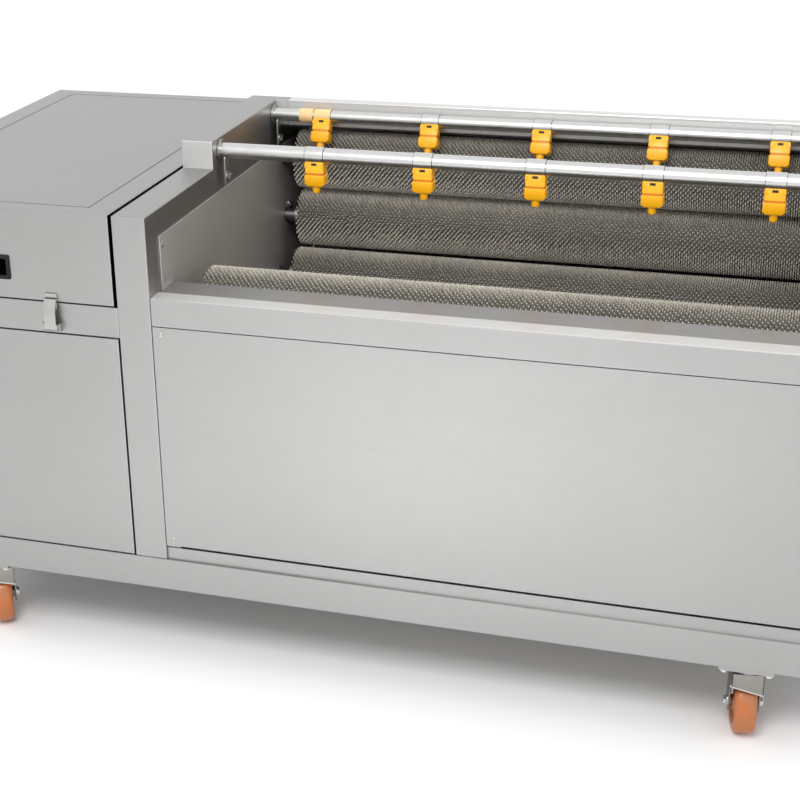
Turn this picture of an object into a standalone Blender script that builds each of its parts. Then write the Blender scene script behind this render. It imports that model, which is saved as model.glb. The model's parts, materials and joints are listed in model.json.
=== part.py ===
"""Brush-roller carrot washing machine on four castors, in metres, +Z up.

The drive cabinet stands at -X, the washing trough at +X and the loading side at -Y. The origin is
on the floor below the middle of the body.
"""
from math import acos, asin, atan2, cos, pi, radians, sin

import bmesh
import bpy
from mathutils import Matrix

# Body
LENGTH = 1.740
DEPTH = 0.850
BODY_HEIGHT = 0.668
SHEET = 0.002
WEB = 0.004
SEAT_GAP = 0.0003
SEAM = 0.002
OVERRUN = 0.001
HARDWARE_PROUD = 0.014
KNUCKLE_RADIUS = 0.0067

# Bottom frame
RAIL_HEIGHT = 0.059
RAIL_DEPTH = 0.040
RAIL_SHEET = 0.003
STRIP_HEIGHT = 0.022
STRIP_SETBACK = 0.005

# End frames
POST_WIDTH = 0.057
POST_DEPTH = 0.051
ARM_HEIGHT = 0.049
ARM_FRONT = 0.122
ARM_BACK = 0.242
ARM_STUB = 0.024
PANEL_FLANGE = 0.025

# Drive cabinet
CABINET_LENGTH = 0.4975
CABINET_GAP = 0.0065
LID_HEIGHT = 0.155
BAND_HEIGHT = 0.053
BAND_DEPTH = 0.030
SHELF_DROP = 0.033
DOOR_DEPTH = 0.018
DOOR_PIVOT_INSET = 0.007
DOOR_SIDE_GAP = 0.0035
DOOR_CLEARANCE = 0.006
PIN_RADIUS = 0.003
PIN_LENGTH = 0.010
STILE_WIDTH = 0.022
LID_BORDER = 0.047
LID_FOLD = 0.035
GROOVE = 0.0025
GROOVE_DEPTH = 0.001
HINGE_INSET = 0.095
KNUCKLE_LENGTH = 0.022

# Lid pull
PULL_WIDTH = 0.134
PULL_HEIGHT = 0.042
PULL_RIM = 0.006
PULL_PROUD = 0.0025
PULL_LEVEL = 0.055
CUP_DEPTH = 0.020

# Draw latches
LATCH_WIDTH = 0.026
LATCH_INSET = 0.1115
LATCH_LENGTH = 0.048
LATCH_THICKNESS = 0.004
LATCH_PIVOT_DROP = 0.040
LATCH_EAR = 0.003

# Door lock and power switch
LOCK_RADIUS = 0.011
LOCK_INSET = 0.034
LOCK_LEVEL = 0.240
CAM_LENGTH = 0.026
CAM_WIDTH = 0.012
CAM_PLAY = 0.0025
SWITCH_RADIUS = 0.016
SWITCH_INSET = 0.050
SWITCH_PROUD = 0.012
STEM_RADIUS = 0.005
CONTROL_BOX = (0.200, 0.120, 0.260)

# Front sill and panels
SILL_HEIGHT = 0.534
SILL_FACE = 0.047
SILL_LIP = 0.034
LEDGE_DROP = 0.003
LEDGE_RETURN = 0.040
LEDGE_CLEARANCE = 0.010
PANEL_BOTTOM = 0.088
PANEL_DEPTH = 0.0045
PANEL_SEAM = 0.0015
LINER_TOP_DROP = 0.045
DECK_RETURN = 0.015

# Rollers on a round cradle
ROLLER_COUNT = 8
ROLLER_RADIUS = 0.057
ROLLER_GAP = 0.004
CRADLE_RADIUS = 0.258
TOP_ROLLER_ANGLE = radians(15.6)
ROLLER_HEADROOM = 0.014
BRUSH_END_GAP = 0.038
BRUSH_CORE_RADIUS = 0.040
SHAFT_RADIUS = 0.0125
SHAFT_SIDES = 12
HOLE_SIDES = 8
CORE_SIDES = 12
TUFT_ROWS = 7
TUFTS_PER_ROW = 6
TUFT_SIDES = 3
TUFT_ROOT_RADIUS = 0.0075
TUFT_TIP_RADIUS = 0.0050
BEARING_RADIUS = 0.028
BEARING_LENGTH = 0.014
SHAFT_HOLE_CLEARANCE = 0.003

# Chain drive
CHAIN_PITCH = 0.015875
ROLLER_TEETH = 15
MOTOR_TEETH = 11
TOOTH_HEIGHT = 0.0045
ROOT_DEPTH = 0.0040
SPROCKET_WIDTH = 0.009
SPROCKET_OFFSET = 0.014
CHAIN_CLEARANCE = 0.0005
CHAIN_THICKNESS = 0.006
CHAIN_WIDTH = 0.007
ARC_STEPS = 28

# Gearmotor
MOTOR_RISE = 0.095
MOTOR_RADIUS = 0.068
MOTOR_LENGTH = 0.165
GEARBOX = (0.130, 0.150, 0.144)
GEARBOX_GAP = 0.030
FOOT_WIDTH = 0.180
FOOT_THICKNESS = 0.008
MOTOR_SHAFT_RADIUS = 0.011
SHAFT_ENGAGEMENT = 0.060

# Spray pipes and nozzles
FRONT_PIPE_RADIUS = 0.0135
REAR_PIPE_RADIUS = 0.0120
PIPE_WALL = 0.0015
PIPE_SIDES = 12
PIPE_INSET = 0.040
TAB_WIDTH = 0.020
TAB_THICKNESS = 0.003
TAB_OFFSET = 0.008
TAB_DROP = 0.060
TAB_BOLT_RADIUS = 0.0045
NOZZLE_COUNT = 5
FRONT_NOZZLE_START = 0.175
FRONT_NOZZLE_END = 0.179
REAR_NOZZLE_START = 0.100
REAR_NOZZLE_END = 0.186
REAR_NOZZLE_TILT = radians(25.0)
BAND_WIDTH = 0.034
BAND_THICKNESS = 0.002
NOZZLE_WIDTH = 0.036
NOZZLE_DEPTH = 0.026
NOZZLE_SHOULDER = 0.019
NOZZLE_BODY = 0.020
NOZZLE_TAPER = 0.004
TIP_RADIUS = 0.007
TIP_LENGTH = 0.0135

# Water tray
TRAY_GAP = 0.010
TRAY_INSET = 0.020
DRAIN_RADIUS = 0.024
DRAIN_LENGTH = 0.050
DRAIN_INSET = 0.160

# Discharge flap
WINDOW_WIDTH = 0.240
WINDOW_HEIGHT = 0.170
WINDOW_DROP = 0.120
FLAP_LAP = 0.012
FLAP_THICKNESS = 0.003
FLAP_KNUCKLE = 0.006
FLAP_PIVOT_OFFSET = 0.014
CATCH_LENGTH = 0.036
CATCH_WIDTH = 0.012
CATCH_RISE = 0.012

# Castors
CASTOR_HEIGHT = 0.145
CASTOR_INSET = 0.2055
CASTOR_PLATE = 0.085
CASTOR_EDGE = 0.002
PLATE_THICKNESS = 0.006
RACE_RADIUS = 0.030
RACE_HEIGHT = 0.010
WHEEL_RADIUS = 0.0525
WHEEL_WIDTH = 0.036
WHEEL_SIDES = 28
WHEEL_ROUND = 0.006
CASTOR_TRAIL = 0.016
FORK_SHEET = 0.003
FORK_GAP = 0.004
FORK_CROWN = 0.042
LEG_WIDTH = 0.034
AXLE_RADIUS = 0.006
NUT_RADIUS = 0.009
NUT_HEIGHT = 0.007
SWIVEL_ANGLES = {
    "front_left": radians(31.0),
    "front_right": radians(9.0),
    "rear_left": radians(168.0),
    "rear_right": radians(187.0),
}

# Places along X
X_LEFT = -LENGTH / 2
X_RIGHT = LENGTH / 2
X_LID_RIGHT = X_LEFT + CABINET_LENGTH
X_POST = X_LID_RIGHT + CABINET_GAP
X_TROUGH_LEFT = X_POST + POST_WIDTH
X_TROUGH_RIGHT = X_RIGHT - POST_WIDTH
X_BRUSH_LEFT = X_TROUGH_LEFT + BRUSH_END_GAP
X_BRUSH_RIGHT = X_TROUGH_RIGHT - BRUSH_END_GAP
X_SPROCKET = X_POST + SPROCKET_OFFSET

# Places along Y
Y_FRONT = -DEPTH / 2
Y_BACK = DEPTH / 2
Y_FRONT_PIPE = -ARM_FRONT + PIPE_INSET
Y_REAR_PIPE = ARM_BACK - PIPE_INSET
Y_RAIL_FRONT = Y_REAR_PIPE + REAR_PIPE_RADIUS + ROLLER_GAP
Y_LEDGE_BACK = -CRADLE_RADIUS - ROLLER_RADIUS - LEDGE_CLEARANCE

# Levels
Z_BASE = CASTOR_HEIGHT
Z_RAIL = Z_BASE + RAIL_HEIGHT
Z_TOP = Z_BASE + BODY_HEIGHT
Z_ARM = Z_TOP + ARM_HEIGHT
Z_SILL = Z_BASE + SILL_HEIGHT
Z_LEDGE = Z_SILL - LEDGE_DROP
Z_SILL_FOOT = Z_SILL - SILL_FACE
Z_LID = Z_TOP - LID_HEIGHT
Z_BAND = Z_LID - BAND_HEIGHT
Z_SHELF = Z_LID - SHELF_DROP
Z_MOTOR = Z_SHELF + MOTOR_RISE
Z_PIPE = Z_TOP + ARM_HEIGHT / 2
Z_LINER_TOP = Z_TOP - LINER_TOP_DROP
Z_CRADLE = Z_TOP - ROLLER_HEADROOM - ROLLER_RADIUS - CRADLE_RADIUS * sin(TOP_ROLLER_ANGLE)
Z_TRAY_TOP = Z_CRADLE - CRADLE_RADIUS - ROLLER_RADIUS - TRAY_GAP
Z_WINDOW = Z_CRADLE - WINDOW_DROP
Z_AXLE = WHEEL_RADIUS

COLLECTION = "carrot_washing_machine"
GUIDES = "cutters"

MATERIALS = {
    "steel": ((0.62, 0.62, 0.61), 0.34, 0.95),
    "liner_steel": ((0.42, 0.41, 0.39), 0.38, 0.90),
    "pipe_steel": ((0.80, 0.80, 0.79), 0.18, 1.00),
    "bristle": ((0.30, 0.28, 0.25), 0.75, 0.00),
    "shaft_steel": ((0.55, 0.55, 0.54), 0.30, 1.00),
    "chain_steel": ((0.22, 0.21, 0.20), 0.45, 0.80),
    "amber": ((1.00, 0.40, 0.01), 0.35, 0.00),
    "wheel": ((0.62, 0.20, 0.04), 0.45, 0.00),
    "zinc": ((0.70, 0.70, 0.68), 0.30, 0.90),
    "black": ((0.02, 0.02, 0.02), 0.50, 0.00),
    "motor_paint": ((0.08, 0.16, 0.30), 0.45, 0.10),
    "box_grey": ((0.50, 0.51, 0.50), 0.55, 0.00),
}


def clear_scene():
    """Remove what the scene holds and add the two collections."""
    for item in list(bpy.data.objects):
        bpy.data.objects.remove(item, do_unlink=True)
    for name in (COLLECTION, GUIDES):
        group = bpy.data.collections.new(name)
        bpy.context.scene.collection.children.link(group)


def material(name):
    """Return the named material, made on first use."""
    found = bpy.data.materials.get(name)
    if found:
        return found
    colour, roughness, metallic = MATERIALS[name]
    made = bpy.data.materials.new(name)
    made.use_nodes = True
    shader = made.node_tree.nodes["Principled BSDF"]
    shader.inputs["Base Color"].default_value = (*colour, 1.0)
    shader.inputs["Roughness"].default_value = roughness
    shader.inputs["Metallic"].default_value = metallic
    return made


def add_object(name, mesh, finish, pivot=(0, 0, 0)):
    """Link a mesh drawn in world coordinates, with its origin at the pivot; no finish is a guide."""
    mesh.transform(Matrix.Translation([-value for value in pivot]))
    item = bpy.data.objects.new(name, mesh)
    item.location = pivot
    if finish:
        mesh.materials.append(material(finish))
        bpy.data.collections[COLLECTION].objects.link(item)
    else:
        item.hide_render = True
        item.display_type = "WIRE"
        bpy.data.collections[GUIDES].objects.link(item)
    return item


def box(name, xs, ys, zs, finish=None, pivot=(0, 0, 0)):
    """Add a box between two limits on each axis."""
    spans = (xs, ys, zs)
    centre = [(low + high) / 2 for low, high in spans]
    scale = Matrix.Diagonal([*(high - low for low, high in spans), 1.0])
    shape = bmesh.new()
    bmesh.ops.create_cube(shape, size=1.0, matrix=Matrix.Translation(centre) @ scale)
    mesh = bpy.data.meshes.new(name)
    shape.to_mesh(mesh)
    shape.free()
    return add_object(name, mesh, finish, pivot)


def bore_radius(radius, sides):
    """Return the radius of a many-sided bore in which a round piece turns with a small gap."""
    return (radius + SEAT_GAP) / cos(pi / sides)


def turned_to(axis):
    """Return the rotation that lays the Z axis along X, Y or Z."""
    turns = {"X": ("Y", pi / 2), "Y": ("X", -pi / 2), "Z": ("Z", 0.0)}
    around, angle = turns[axis]
    return Matrix.Rotation(angle, 4, around)


def rod(name, axis, centre, span, radius, sides=16, finish=None, pivot=(0, 0, 0)):
    """Add a cylinder along an axis; centre gives the two other coordinates in X, Y, Z order."""
    index = "XYZ".index(axis)
    middle = list(centre)
    middle.insert(index, (span[0] + span[1]) / 2)
    shape = bmesh.new()
    bmesh.ops.create_cone(
        shape, cap_ends=True, segments=sides, radius1=radius, radius2=radius,
        depth=span[1] - span[0], matrix=Matrix.Translation(middle) @ turned_to(axis))
    mesh = bpy.data.meshes.new(name)
    shape.to_mesh(mesh)
    shape.free()
    return add_object(name, mesh, finish, pivot)


def prism(name, axis, outlines, span, finish=None, pivot=(0, 0, 0)):
    """Add closed outlines, in the two other axes, filled and extruded along an axis."""
    curve = bpy.data.curves.new(name, "CURVE")
    curve.dimensions = "2D"
    curve.fill_mode = "BOTH"
    curve.extrude = (span[1] - span[0]) / 2
    for outline in outlines:
        spline = curve.splines.new("POLY")
        spline.points.add(len(outline) - 1)
        for point, (first, second) in zip(spline.points, outline):
            point.co = (first, second, 0, 1)
        spline.use_cyclic_u = True
    drawn = bpy.data.objects.new(name + "_outline", curve)
    bpy.context.scene.collection.objects.link(drawn)
    graph = bpy.context.evaluated_depsgraph_get()
    mesh = bpy.data.meshes.new_from_object(drawn.evaluated_get(graph))
    bpy.data.objects.remove(drawn)
    middle = (span[0] + span[1]) / 2
    frames = {
        "X": Matrix(((0, 0, 1, middle), (1, 0, 0, 0), (0, 1, 0, 0), (0, 0, 0, 1))),
        "Y": Matrix(((1, 0, 0, 0), (0, 0, -1, middle), (0, 1, 0, 0), (0, 0, 0, 1))),
        "Z": Matrix.Translation((0, 0, middle)),
    }
    mesh.transform(frames[axis])
    shape = bmesh.new()
    shape.from_mesh(mesh)
    bmesh.ops.remove_doubles(shape, verts=shape.verts, dist=SEAT_GAP / 10)
    bmesh.ops.recalc_face_normals(shape, faces=shape.faces)
    shape.to_mesh(mesh)
    shape.free()
    return add_object(name, mesh, finish, pivot)


def combine(target, operation, tools):
    """Add one EXACT Boolean modifier to the target for each tool."""
    for tool in tools:
        modifier = target.modifiers.new(tool.name, "BOOLEAN")
        modifier.operation = operation
        modifier.solver = "EXACT"
        modifier.object = tool
    return target


def join(target, *tools):
    """Unite the target with its tools."""
    return combine(target, "UNION", tools)


def cut(target, *tools):
    """Cut the tools out of the target."""
    return combine(target, "DIFFERENCE", tools)


def baked_mesh(item, finish):
    """Return the item's finished mesh in its own coordinates, ready to be shared by copies."""
    graph = bpy.context.evaluated_depsgraph_get()
    mesh = bpy.data.meshes.new_from_object(item.evaluated_get(graph))
    mesh.materials.clear()
    mesh.materials.append(material(finish))
    tools = [modifier.object for modifier in item.modifiers if modifier.type == "BOOLEAN"]
    for used in [item, *tools]:
        bpy.data.objects.remove(used)
    smooth(mesh)
    return mesh


def smooth(mesh):
    """Shade round faces smooth and keep edges over 35 degrees sharp."""
    mesh.shade_smooth()
    mesh.set_sharp_from_angle(angle=radians(35.0))


def place_copy(name, mesh, location, turn=None):
    """Add an object that shares a finished mesh."""
    item = bpy.data.objects.new(name, mesh)
    item.location = location
    if turn:
        item.rotation_euler = turn
    bpy.data.collections[COLLECTION].objects.link(item)
    return item


def roller_places():
    """Return the (Y, Z) centres of the rollers, evenly pitched down the cradle from the rear."""
    step = 2 * asin((ROLLER_RADIUS + ROLLER_GAP / 2) / CRADLE_RADIUS)
    angles = [TOP_ROLLER_ANGLE - step * index for index in range(ROLLER_COUNT)]
    return [(CRADLE_RADIUS * cos(a), Z_CRADLE + CRADLE_RADIUS * sin(a)) for a in angles]


def circle_points(centre, radius, count):
    """Return evenly spaced points round a circle."""
    angles = [2 * pi * index / count for index in range(count)]
    return [(centre[0] + radius * cos(a), centre[1] + radius * sin(a)) for a in angles]


def pitch_radius(teeth):
    """Return a sprocket's pitch radius for the chain's pitch."""
    return CHAIN_PITCH / (2 * sin(pi / teeth))


def sprocket_outline(centre, teeth):
    """Return the toothed outline of a sprocket: a root point and a tip point for each tooth."""
    root = pitch_radius(teeth) - ROOT_DEPTH
    tip = pitch_radius(teeth) + TOOTH_HEIGHT
    tooth_shares = ((0.0, root), (0.5, tip))
    points = []
    for tooth in range(teeth):
        for share, radius in tooth_shares:
            angle = 2 * pi * (tooth + share) / teeth
            points.append((centre[0] + radius * cos(angle), centre[1] + radius * sin(angle)))
    return points


def make_base_frame():
    """Make the bottom ring with its middle rail, set-back strips and the castors' top plates."""
    front = (Y_FRONT, Y_FRONT + RAIL_DEPTH)
    rear = (Y_BACK - RAIL_DEPTH, Y_BACK)
    inner = (front[1] - OVERRUN, rear[0] + OVERRUN)
    level = (Z_BASE, Z_RAIL)
    frame = box("base_frame", (X_LEFT, X_RIGHT), front, level, "steel")
    tools = [box("rear_rail_tool", (X_LEFT, X_RIGHT), rear, level)]
    for name, start in (("left", X_LEFT), ("middle", X_POST), ("right", X_TROUGH_RIGHT)):
        tools.append(box(name + "_rail_tool", (start, start + POST_WIDTH), inner, level))
    strip_level = (Z_RAIL - OVERRUN, Z_RAIL + STRIP_HEIGHT)
    strip_span = (X_TROUGH_LEFT + SEAT_GAP, X_TROUGH_RIGHT - SEAT_GAP)
    strip_start = Y_FRONT + STRIP_SETBACK
    tools.append(box("front_strip_tool", strip_span, (strip_start, strip_start + SHEET), strip_level))
    for x, y in castor_places().values():
        half = CASTOR_PLATE / 2
        plate_level = (Z_BASE - PLATE_THICKNESS, Z_BASE + OVERRUN)
        tools.append(box("plate_tool", (x - half, x + half), (y - half, y + half), plate_level))
        race_level = (Z_BASE - PLATE_THICKNESS - RACE_HEIGHT, Z_BASE - OVERRUN)
        tools.append(rod("race_tool", "Z", (x, y), race_level, RACE_RADIUS))
    join(frame, *tools)
    folds = []
    hollow_level = (Z_BASE + RAIL_SHEET, Z_RAIL - RAIL_SHEET)
    hollow_span = (X_LEFT + RAIL_SHEET, X_RIGHT - RAIL_SHEET)
    front_depth = (front[0] + RAIL_SHEET, front[1] + OVERRUN)
    rear_depth = (rear[0] - OVERRUN, rear[1] - RAIL_SHEET)
    middle_depth = (front[1] + RAIL_SHEET, rear[0] - RAIL_SHEET)
    folds.append(box("front_fold_tool", hollow_span, front_depth, hollow_level))
    folds.append(box("rear_fold_tool", hollow_span, rear_depth, hollow_level))
    for name, start in (("left", X_LEFT), ("middle", X_POST), ("right", X_TROUGH_RIGHT)):
        folds.append(box(name + "_fold_tool", (start + RAIL_SHEET, start + POST_WIDTH - RAIL_SHEET),
                         middle_depth, (Z_BASE - OVERRUN, Z_RAIL - RAIL_SHEET)))
    socket_level = (Z_RAIL - PIN_LENGTH - OVERRUN, Z_RAIL + OVERRUN)
    folds.append(rod("door_socket_tool", "Z", door_pivot(), socket_level, PIN_RADIUS + SEAT_GAP, 12))
    cut(frame, *folds)


def castor_places():
    """Return the (X, Y) of each castor's swivel axis."""
    edge = CASTOR_PLATE / 2 + CASTOR_EDGE
    places = {}
    for row, y in (("front", Y_FRONT + edge), ("rear", Y_BACK - edge)):
        places[row + "_left"] = (X_LEFT + CASTOR_INSET, y)
        places[row + "_right"] = (X_RIGHT - CASTOR_INSET, y)
    return places


def make_castors():
    """Make four wheels in hooded forks, each fork turned about its swivel axis."""
    crown_top = Z_BASE - PLATE_THICKNESS - RACE_HEIGHT - SEAT_GAP
    inside = WHEEL_WIDTH / 2 + FORK_GAP
    outside = inside + FORK_SHEET
    crown_low = crown_top - FORK_CROWN + FORK_SHEET
    crown_back = CASTOR_TRAIL + LEG_WIDTH / 2
    fork = box("fork", (-outside, outside), (-RACE_RADIUS, crown_back), (crown_low, crown_top), "zinc")
    tools = []
    for sign in (-1, 1):
        span = sorted((sign * inside, sign * outside))
        leg = [(-RACE_RADIUS, crown_top - OVERRUN), (crown_back, crown_top - OVERRUN),
               (crown_back, Z_AXLE), (CASTOR_TRAIL + AXLE_RADIUS, Z_AXLE - LEG_WIDTH / 2),
               (CASTOR_TRAIL - AXLE_RADIUS, Z_AXLE - LEG_WIDTH / 2),
               (CASTOR_TRAIL - LEG_WIDTH / 2, Z_AXLE)]
        tools.append(prism("leg_tool", "X", [leg], span))
        nut = sorted((sign * (outside - OVERRUN), sign * (outside + NUT_HEIGHT)))
        tools.append(rod("nut_tool", "X", (CASTOR_TRAIL, Z_AXLE), nut, NUT_RADIUS, 6))
    tools.append(rod("axle_tool", "X", (CASTOR_TRAIL, Z_AXLE), (-outside, outside), AXLE_RADIUS, 8))
    join(fork, *tools)
    cut(fork, box("hood_tool", (-inside, inside), (FORK_SHEET - RACE_RADIUS, crown_back + OVERRUN),
                  (crown_low - OVERRUN, crown_top - FORK_SHEET)))
    fork_mesh = baked_mesh(fork, "zinc")
    half = WHEEL_WIDTH / 2
    around = WHEEL_RADIUS / cos(pi / WHEEL_SIDES)
    wheel = rod("wheel", "X", (0, 0), (-half, half), around, WHEEL_SIDES, "wheel")
    wheel.data.transform(Matrix.Rotation(pi / WHEEL_SIDES, 4, "X"))
    rounding = wheel.modifiers.new("rounding", "BEVEL")
    rounding.width = WHEEL_ROUND
    rounding.segments = 1
    bore = rod("bore_tool", "X", (0, 0), (-half - OVERRUN, half + OVERRUN), AXLE_RADIUS + SEAT_GAP, 12)
    cut(wheel, bore)
    wheel_mesh = baked_mesh(wheel, "wheel")
    for name, (x, y) in castor_places().items():
        turn = SWIVEL_ANGLES[name]
        place_copy(name + "_castor_fork", fork_mesh, (x, y, 0), (0, 0, turn))
        centre = (x - CASTOR_TRAIL * sin(turn), y + CASTOR_TRAIL * cos(turn), Z_AXLE)
        place_copy(name + "_castor_wheel", wheel_mesh, centre, (0, 0, turn))


def make_end_frame(name, inner, outward):
    """Make an end frame as a pan open outward, with its raised arm, bearings and panel flange.

    inner is the X of the web's face toward the trough and outward is the sign of X away from it.
    """
    def span(near, far):
        return tuple(sorted((inner + outward * near, inner + outward * far)))

    level = (Z_RAIL + SEAT_GAP, Z_TOP)
    arm_y = (-ARM_FRONT, ARM_BACK)
    arm_level = (Z_TOP - OVERRUN, Z_ARM)
    frame = box(name, span(0, POST_WIDTH), (Y_FRONT, Y_BACK), level, "steel")
    arm = box(name + "_arm_tool", span(0, POST_WIDTH), arm_y, arm_level)
    stub = box(name + "_stub_tool", span(-ARM_STUB, OVERRUN), (Y_RAIL_FRONT, arm_y[1]),
               (Z_TOP + SEAT_GAP, Z_ARM))
    flange_y = Y_FRONT + PANEL_DEPTH + SEAT_GAP
    flange = box(name + "_flange_tool", span(-PANEL_FLANGE, OVERRUN), (flange_y, flange_y + SHEET),
                 (Z_RAIL + STRIP_HEIGHT + SEAM, Z_SILL_FOOT - SEAM))
    join(frame, arm, stub, flange)
    pan = box(name + "_pan_tool", span(WEB, POST_WIDTH + OVERRUN), (Y_FRONT + SHEET, Y_BACK - SHEET),
              (Z_RAIL + SHEET, Z_TOP - SHEET))
    hollow = box(name + "_hollow_tool", span(SHEET, POST_WIDTH - SHEET),
                 (arm_y[0] + SHEET, arm_y[1] - SHEET), (Z_TOP - SHEET - OVERRUN, Z_ARM - SHEET))
    cut(frame, pan, hollow)
    places = roller_places()
    housings = []
    holes = []
    for place in places:
        housings.append(rod(name + "_housing_tool", "X", place, span(WEB - OVERRUN, WEB + BEARING_LENGTH),
                            BEARING_RADIUS, SHAFT_SIDES))
        holes.append(rod(name + "_bore_tool", "X", place, span(-OVERRUN, WEB + BEARING_LENGTH + OVERRUN),
                         bore_radius(SHAFT_RADIUS, SHAFT_SIDES), SHAFT_SIDES))
    join(frame, *housings)
    cut(frame, *holes)
    return frame, span


def make_right_end_frame():
    """Make the right end frame with the discharge window, the flap's hinge ears and catch stud."""
    frame, span = make_end_frame("right_end_frame", X_TROUGH_RIGHT, 1)
    half = WINDOW_WIDTH / 2
    cut(frame, box("frame_window_tool", span(-OVERRUN, WEB + OVERRUN), (-half, half),
                   (Z_WINDOW, Z_WINDOW + WINDOW_HEIGHT)))
    x, z = flap_pivot()
    ears = []
    for sign in (-1, 1):
        near = half + FLAP_LAP + SEAT_GAP
        far = near + KNUCKLE_LENGTH / 2
        ys = tuple(sorted((sign * near, sign * far)))
        ear_level = (z - FLAP_KNUCKLE, z + FLAP_KNUCKLE)
        ear_span = span(WEB - OVERRUN, x + FLAP_KNUCKLE - X_TROUGH_RIGHT)
        ears.append(box("flap_ear_tool", ear_span, ys, ear_level))
        pin = tuple(sorted((sign * (near - KNUCKLE_LENGTH / 2), sign * (far - OVERRUN))))
        ears.append(rod("flap_pin_tool", "Y", (x, z), pin, PIN_RADIUS, 12))
    catch_y, catch_z = catch_pivot()
    stud = span(WEB - OVERRUN, WEB + FLAP_THICKNESS * 3 + SEAT_GAP)
    ears.append(rod("catch_stud_tool", "X", (catch_y, catch_z), stud, PIN_RADIUS, 12))
    join(frame, *ears)


def flap_pivot():
    """Return the (X, Z) of the flap's hinge axis."""
    return X_TROUGH_RIGHT + WEB + FLAP_PIVOT_OFFSET, Z_WINDOW - FLAP_LAP - FLAP_KNUCKLE


def catch_pivot():
    """Return the (Y, Z) of the catch's stud."""
    return 0.0, Z_WINDOW + WINDOW_HEIGHT + FLAP_LAP + CATCH_RISE


def make_discharge_flap():
    """Make the flap that covers the discharge window, hinged along its lower edge."""
    x, z = flap_pivot()
    half = WINDOW_WIDTH / 2 + FLAP_LAP
    start = X_TROUGH_RIGHT + WEB + SEAT_GAP
    pivot = (x, 0, z)
    flap = box("discharge_flap", (start, start + FLAP_THICKNESS), (-half, half),
               (z, Z_WINDOW + WINDOW_HEIGHT + FLAP_LAP), "steel", pivot)
    arm = box("flap_arm_tool", (start, x), (-half, half), (z - FLAP_THICKNESS / 2, z + FLAP_THICKNESS / 2))
    knuckle = rod("flap_knuckle_tool", "Y", (x, z), (-half, half), FLAP_KNUCKLE, 16)
    pull = box("flap_pull_tool", (start + OVERRUN, start + FLAP_PIVOT_OFFSET), (-half / 3, half / 3),
               (Z_WINDOW + WINDOW_HEIGHT - FLAP_THICKNESS, Z_WINDOW + WINDOW_HEIGHT))
    join(flap, arm, knuckle, pull)
    bores = []
    for sign in (-1, 1):
        deep = KNUCKLE_LENGTH / 2 + OVERRUN
        ys = tuple(sorted((sign * (half - deep), sign * (half + OVERRUN))))
        bores.append(rod("flap_bore_tool", "Y", (x, z), ys, PIN_RADIUS + SEAT_GAP, 12))
    cut(flap, *bores)


def make_flap_catch():
    """Make the turn button above the flap, lying level when it is released."""
    y, z = catch_pivot()
    start = X_TROUGH_RIGHT + WEB + SEAT_GAP * 2 + FLAP_THICKNESS
    pivot = (start, y, z)
    reach = CATCH_LENGTH / 2
    catch = box("flap_catch", (start, start + FLAP_THICKNESS), (y - reach, y + reach),
                (z - CATCH_WIDTH / 2, z + CATCH_WIDTH / 2), "zinc", pivot)
    collar = rod("catch_collar_tool", "X", (y, z), (X_TROUGH_RIGHT + WEB + SEAT_GAP, start + OVERRUN),
                 CATCH_WIDTH / 2 - OVERRUN, 16)
    join(catch, collar)
    cut(catch, rod("catch_bore_tool", "X", (y, z), (X_TROUGH_RIGHT, start + FLAP_THICKNESS * 2),
                   PIN_RADIUS + SEAT_GAP, 12))


def make_liner(name, start):
    """Make an inner end plate, notched round the sill, with a clear hole for each shaft."""
    low = Z_TRAY_TOP + SEAM
    notch_y = Y_LEDGE_BACK + PANEL_DEPTH
    notch_z = Z_LEDGE + SEAT_GAP
    outline = [(Y_FRONT + POST_DEPTH, notch_z), (notch_y, notch_z), (notch_y, low),
               (Y_BACK - POST_DEPTH, low), (Y_BACK - POST_DEPTH, Z_LINER_TOP),
               (Y_FRONT + POST_DEPTH, Z_LINER_TOP)]
    plate = prism(name, "X", [outline], (start, start + SHEET), "liner_steel")
    holes = [rod(name + "_hole_tool", "X", place, (start - OVERRUN, start + SHEET + OVERRUN),
                 SHAFT_RADIUS + SHAFT_HOLE_CLEARANCE, HOLE_SIDES) for place in roller_places()]
    return cut(plate, *holes)


def make_liners():
    """Make both inner end plates; the right one has the discharge window."""
    make_liner("left_end_plate", X_TROUGH_LEFT + SEAT_GAP)
    start = X_TROUGH_RIGHT - SEAT_GAP - SHEET
    right = make_liner("right_end_plate", start)
    half = WINDOW_WIDTH / 2
    cut(right, box("plate_window_tool", (start - OVERRUN, start + SHEET + OVERRUN), (-half, half),
                   (Z_WINDOW, Z_WINDOW + WINDOW_HEIGHT)))


def folded_sheet(name, path, span, finish):
    """Make a sheet of even thickness folded along a (Y, Z) path, with its outer face on the path."""
    shape = bmesh.new()
    rows = [[shape.verts.new((x, y, z)) for y, z in path] for x in span]
    for index in range(len(path) - 1):
        shape.faces.new((rows[0][index], rows[1][index], rows[1][index + 1], rows[0][index + 1]))
    mesh = bpy.data.meshes.new(name)
    shape.to_mesh(mesh)
    shape.free()
    item = add_object(name, mesh, finish)
    wall = item.modifiers.new("wall", "SOLIDIFY")
    wall.thickness = SHEET
    wall.offset = -1.0
    wall.use_even_offset = True
    return item


def make_sill():
    """Make the front sill: face, narrow lip, step and the ledge that leads to the rollers."""
    path = [(Y_FRONT, Z_SILL_FOOT), (Y_FRONT, Z_SILL), (Y_FRONT + SILL_LIP, Z_SILL),
            (Y_FRONT + SILL_LIP, Z_LEDGE), (Y_LEDGE_BACK, Z_LEDGE), (Y_LEDGE_BACK, Z_LEDGE - LEDGE_RETURN)]
    span = (X_TROUGH_LEFT + SEAT_GAP, X_TROUGH_RIGHT - SEAT_GAP)
    folded_sheet("front_sill", path, span, "steel")


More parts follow.
